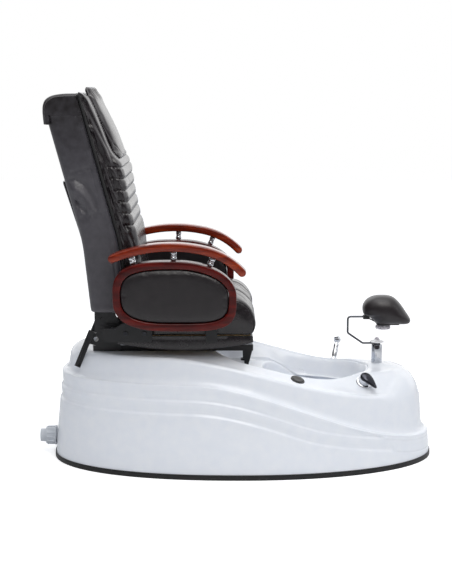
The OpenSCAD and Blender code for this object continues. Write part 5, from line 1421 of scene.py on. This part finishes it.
def cushion_sewing(x, y, z, normals):
    out = x - seam_line(z)
    front = ramp(normals[:, 0], 0.25, 0.6)
    depth = np.zeros(len(x))
    wrap = ramp(out, 22, 48)
    for k in range(RIBS + 1):
        line = RIB_LOW + k * RIB_PITCH + 7 * ramp(np.abs(y), 215, 275) * (1 if k else 0.4)
        depth += wrap * seam(z - line, 4.2, 3.2, 3.0) * ramp(np.abs(y), 300, 250)
    lumbar = ramp(z, 906, 880) * ramp(z, 700, 800)
    depth += front * lumbar * (2.2 * np.sin(y / 10.5 + 1.3 * np.sin(z / 37))
                               * np.exp(-((910 - z) / 90)) + 1.6)
    side = ramp(np.abs(normals[:, 1]), 0.35, 0.75)
    run_a = line_distance(out, z, [(14, 1372), (34, 1290), (60, 1180), (66, 1090)])
    run_b = line_distance(out, z, [(12, 1240), (36, 1120), (50, 1010), (46, 900)])
    run_c = line_distance(out, z, [(10, 1040), (34, 940), (52, 860), (58, 790)])
    run_d = line_distance(out, z, [(16, 900), (30, 820), (48, 740)])
    creases = (4.0 * np.exp(-(run_a / 8) ** 2) + 4.5 * np.exp(-(run_b / 8) ** 2)
               + 4.0 * np.exp(-(run_c / 7) ** 2) + 3.5 * np.exp(-(run_d / 7) ** 2)
               - 3.0 * np.exp(-((run_b - 15) / 9) ** 2) - 3.0 * np.exp(-((run_a - 16) / 10) ** 2))
    nips = 1.4 * np.sin(z / 6.5) * np.exp(-((out - 17) / 5) ** 2)
    depth += side * (creases + nips + seam(out - 20, 2.0, 3))
    return depth


pressed(front_cushion, cushion_sewing)
points = points_of(front_cushion)
behind_seam = (seam_line(points[:, 2] * 1000) + 1.0 + AHEAD) / 1000
points[:, 0] = np.maximum(points[:, 0], behind_seam)
points[:, 1] = np.clip(points[:, 1], -BACK_MOST_Y, BACK_MOST_Y)
set_points(front_cushion, points)
dress(front_cushion, "back", "leather", black_leather, "back_cushion", angle=60)

# %% Zips
def zip_strip(side):
    rings = []
    for k in range(141):
        z = lerp(640, 1372, k / 140)
        x = seam_x(z)
        lift = 0.5 if k % 2 else 0.0
        rings.append([at(x + u, side * (BACK_HALF + v + lift * (1 if 4 < u < 12 else 0)), z)
                      for u, v in ((3, -5), (3, -1.6), (5.5, -0.6), (8, 0.2), (10.5, -0.6),
                                   (13, -1.6), (13, -5))])
    return rings


for side, label in ((-1, "right"), (1, "left")):
    dress(loft("zip_" + label, zip_strip(side)), "back", "leather", zip_tape, angle=30)

# %% [markdown]
# **Head pillow.** Two leather-cloth faces sewn together at a pointed edge, like a
# leaf, with its stuffing gathered at the top where it hangs from the hood. A
# press stud holds its lower tip.

# %% Head pillow
PILLOW_HALF = 165
PILLOW = [(1136, 2), (1142, 11), (1154, 20), (1168, 24), (1190, 27), (1221, 28), (1265, 25),
          (1300, 21), (1332, 18), (1361, 18), (1380, 16), (1394, 12), (1401, 8), (1404, 3)]
rings = []
for k in range(-18, 19):
    s = math.sin(math.pi / 2 * k / 18.3)
    fill = max(0.06, (1 - abs(s) ** 3) ** 0.45)
    face = []
    for z, t in smooth_line(PILLOW, 4):
        base = max(along(COVER, z), 22) + 2.2
        face.append((seam_x(z) + base, t * fill * 0.96, z))
    front = [at(x + max(2.2, t), s * (PILLOW_HALF - 3), z) for x, t, z in face]
    rear = [at(x + 0.4, s * (PILLOW_HALF - 3), z) for x, t, z in reversed(face[2:-2:3])]
    rings.append(front + rear)
pillow = puffed(loft("head_pillow", rings), 5, 5, least=(-9, -PILLOW_HALF / 1000, -9),
                most=(9, PILLOW_HALF / 1000, 1.4038))


def pillow_gathers(x, y, z, normals):
    top = ramp(z, 1340, 1400)
    gathers = 3.4 * np.sin(y / 6.2 + 1.5 * np.sin(y / 21)) * top
    hem = line_distance(np.abs(y), z, [(0, 1146), (90, 1156), (146, 1196), (158, 1280), (158, 1370)])
    return gathers + seam(hem, 1.8, 3.0) * ramp(normals[:, 0], 0.1, 0.5) + 1.0 * np.sin(z / 17) * top


pressed(pillow, pillow_gathers)
points = points_of(pillow)
cover_at = np.array([max(along(COVER, z * 1000), 22) for z in points[:, 2]])
rear_face = (seam_line(points[:, 2] * 1000) + cover_at + 1.4 + AHEAD) / 1000
points[:, 0] = np.maximum(points[:, 0], rear_face)
points[:, 2] = np.minimum(points[:, 2], 1.4039)
set_points(pillow, points)
dress(pillow, "back", "leather", black_leather, "head_pillow", angle=60)

# %% [markdown]
# ## The working parts
#
# The welded frames, slides, hinges, pump, drain and massage drive are seen as their
# exact solids, so they only get the finish that each really has: baked powder coat
# on the welded steel, zinc on what slides, and chrome on what shows.

# %% Finishes of the working parts
bare = {
    plywood: ["platform_board", "seat_pan"],
    powder: ["base_frame", "chair_frame", "rear_legs", "front_legs", "seat_frame",
             "seat_outriggers", "arm_plates", "hinge_ears", "hinge_plates", "back_frame",
             "pad_plate"],
    zinc: ["slide_rails", "slide_runners", "hinge_pins", "actuator_rod", "post_nut",
           "guide_rods", "lead_screw"],
    chrome: ["jet_housing", "drain_strainer"],
    bolt_steel: ["arm_bolts"],
    pump_plastic: ["jet_pump", "actuator_body", "screw_motor", "massage_carriage"],
    pvc: ["pump_pipe", "drain_pipe", "drain_union"],
    brass: ["mixer_valve"],
    bellows_rubber: ["button_bellows", "levelling_feet"],
    roller_rubber: ["massage_rollers"],
}
for material, names in bare.items():
    for name in names:
        nodes[name].data.materials.clear()
        nodes[name].data.materials.append(material)
    print(material.name, "on", ", ".join(names))
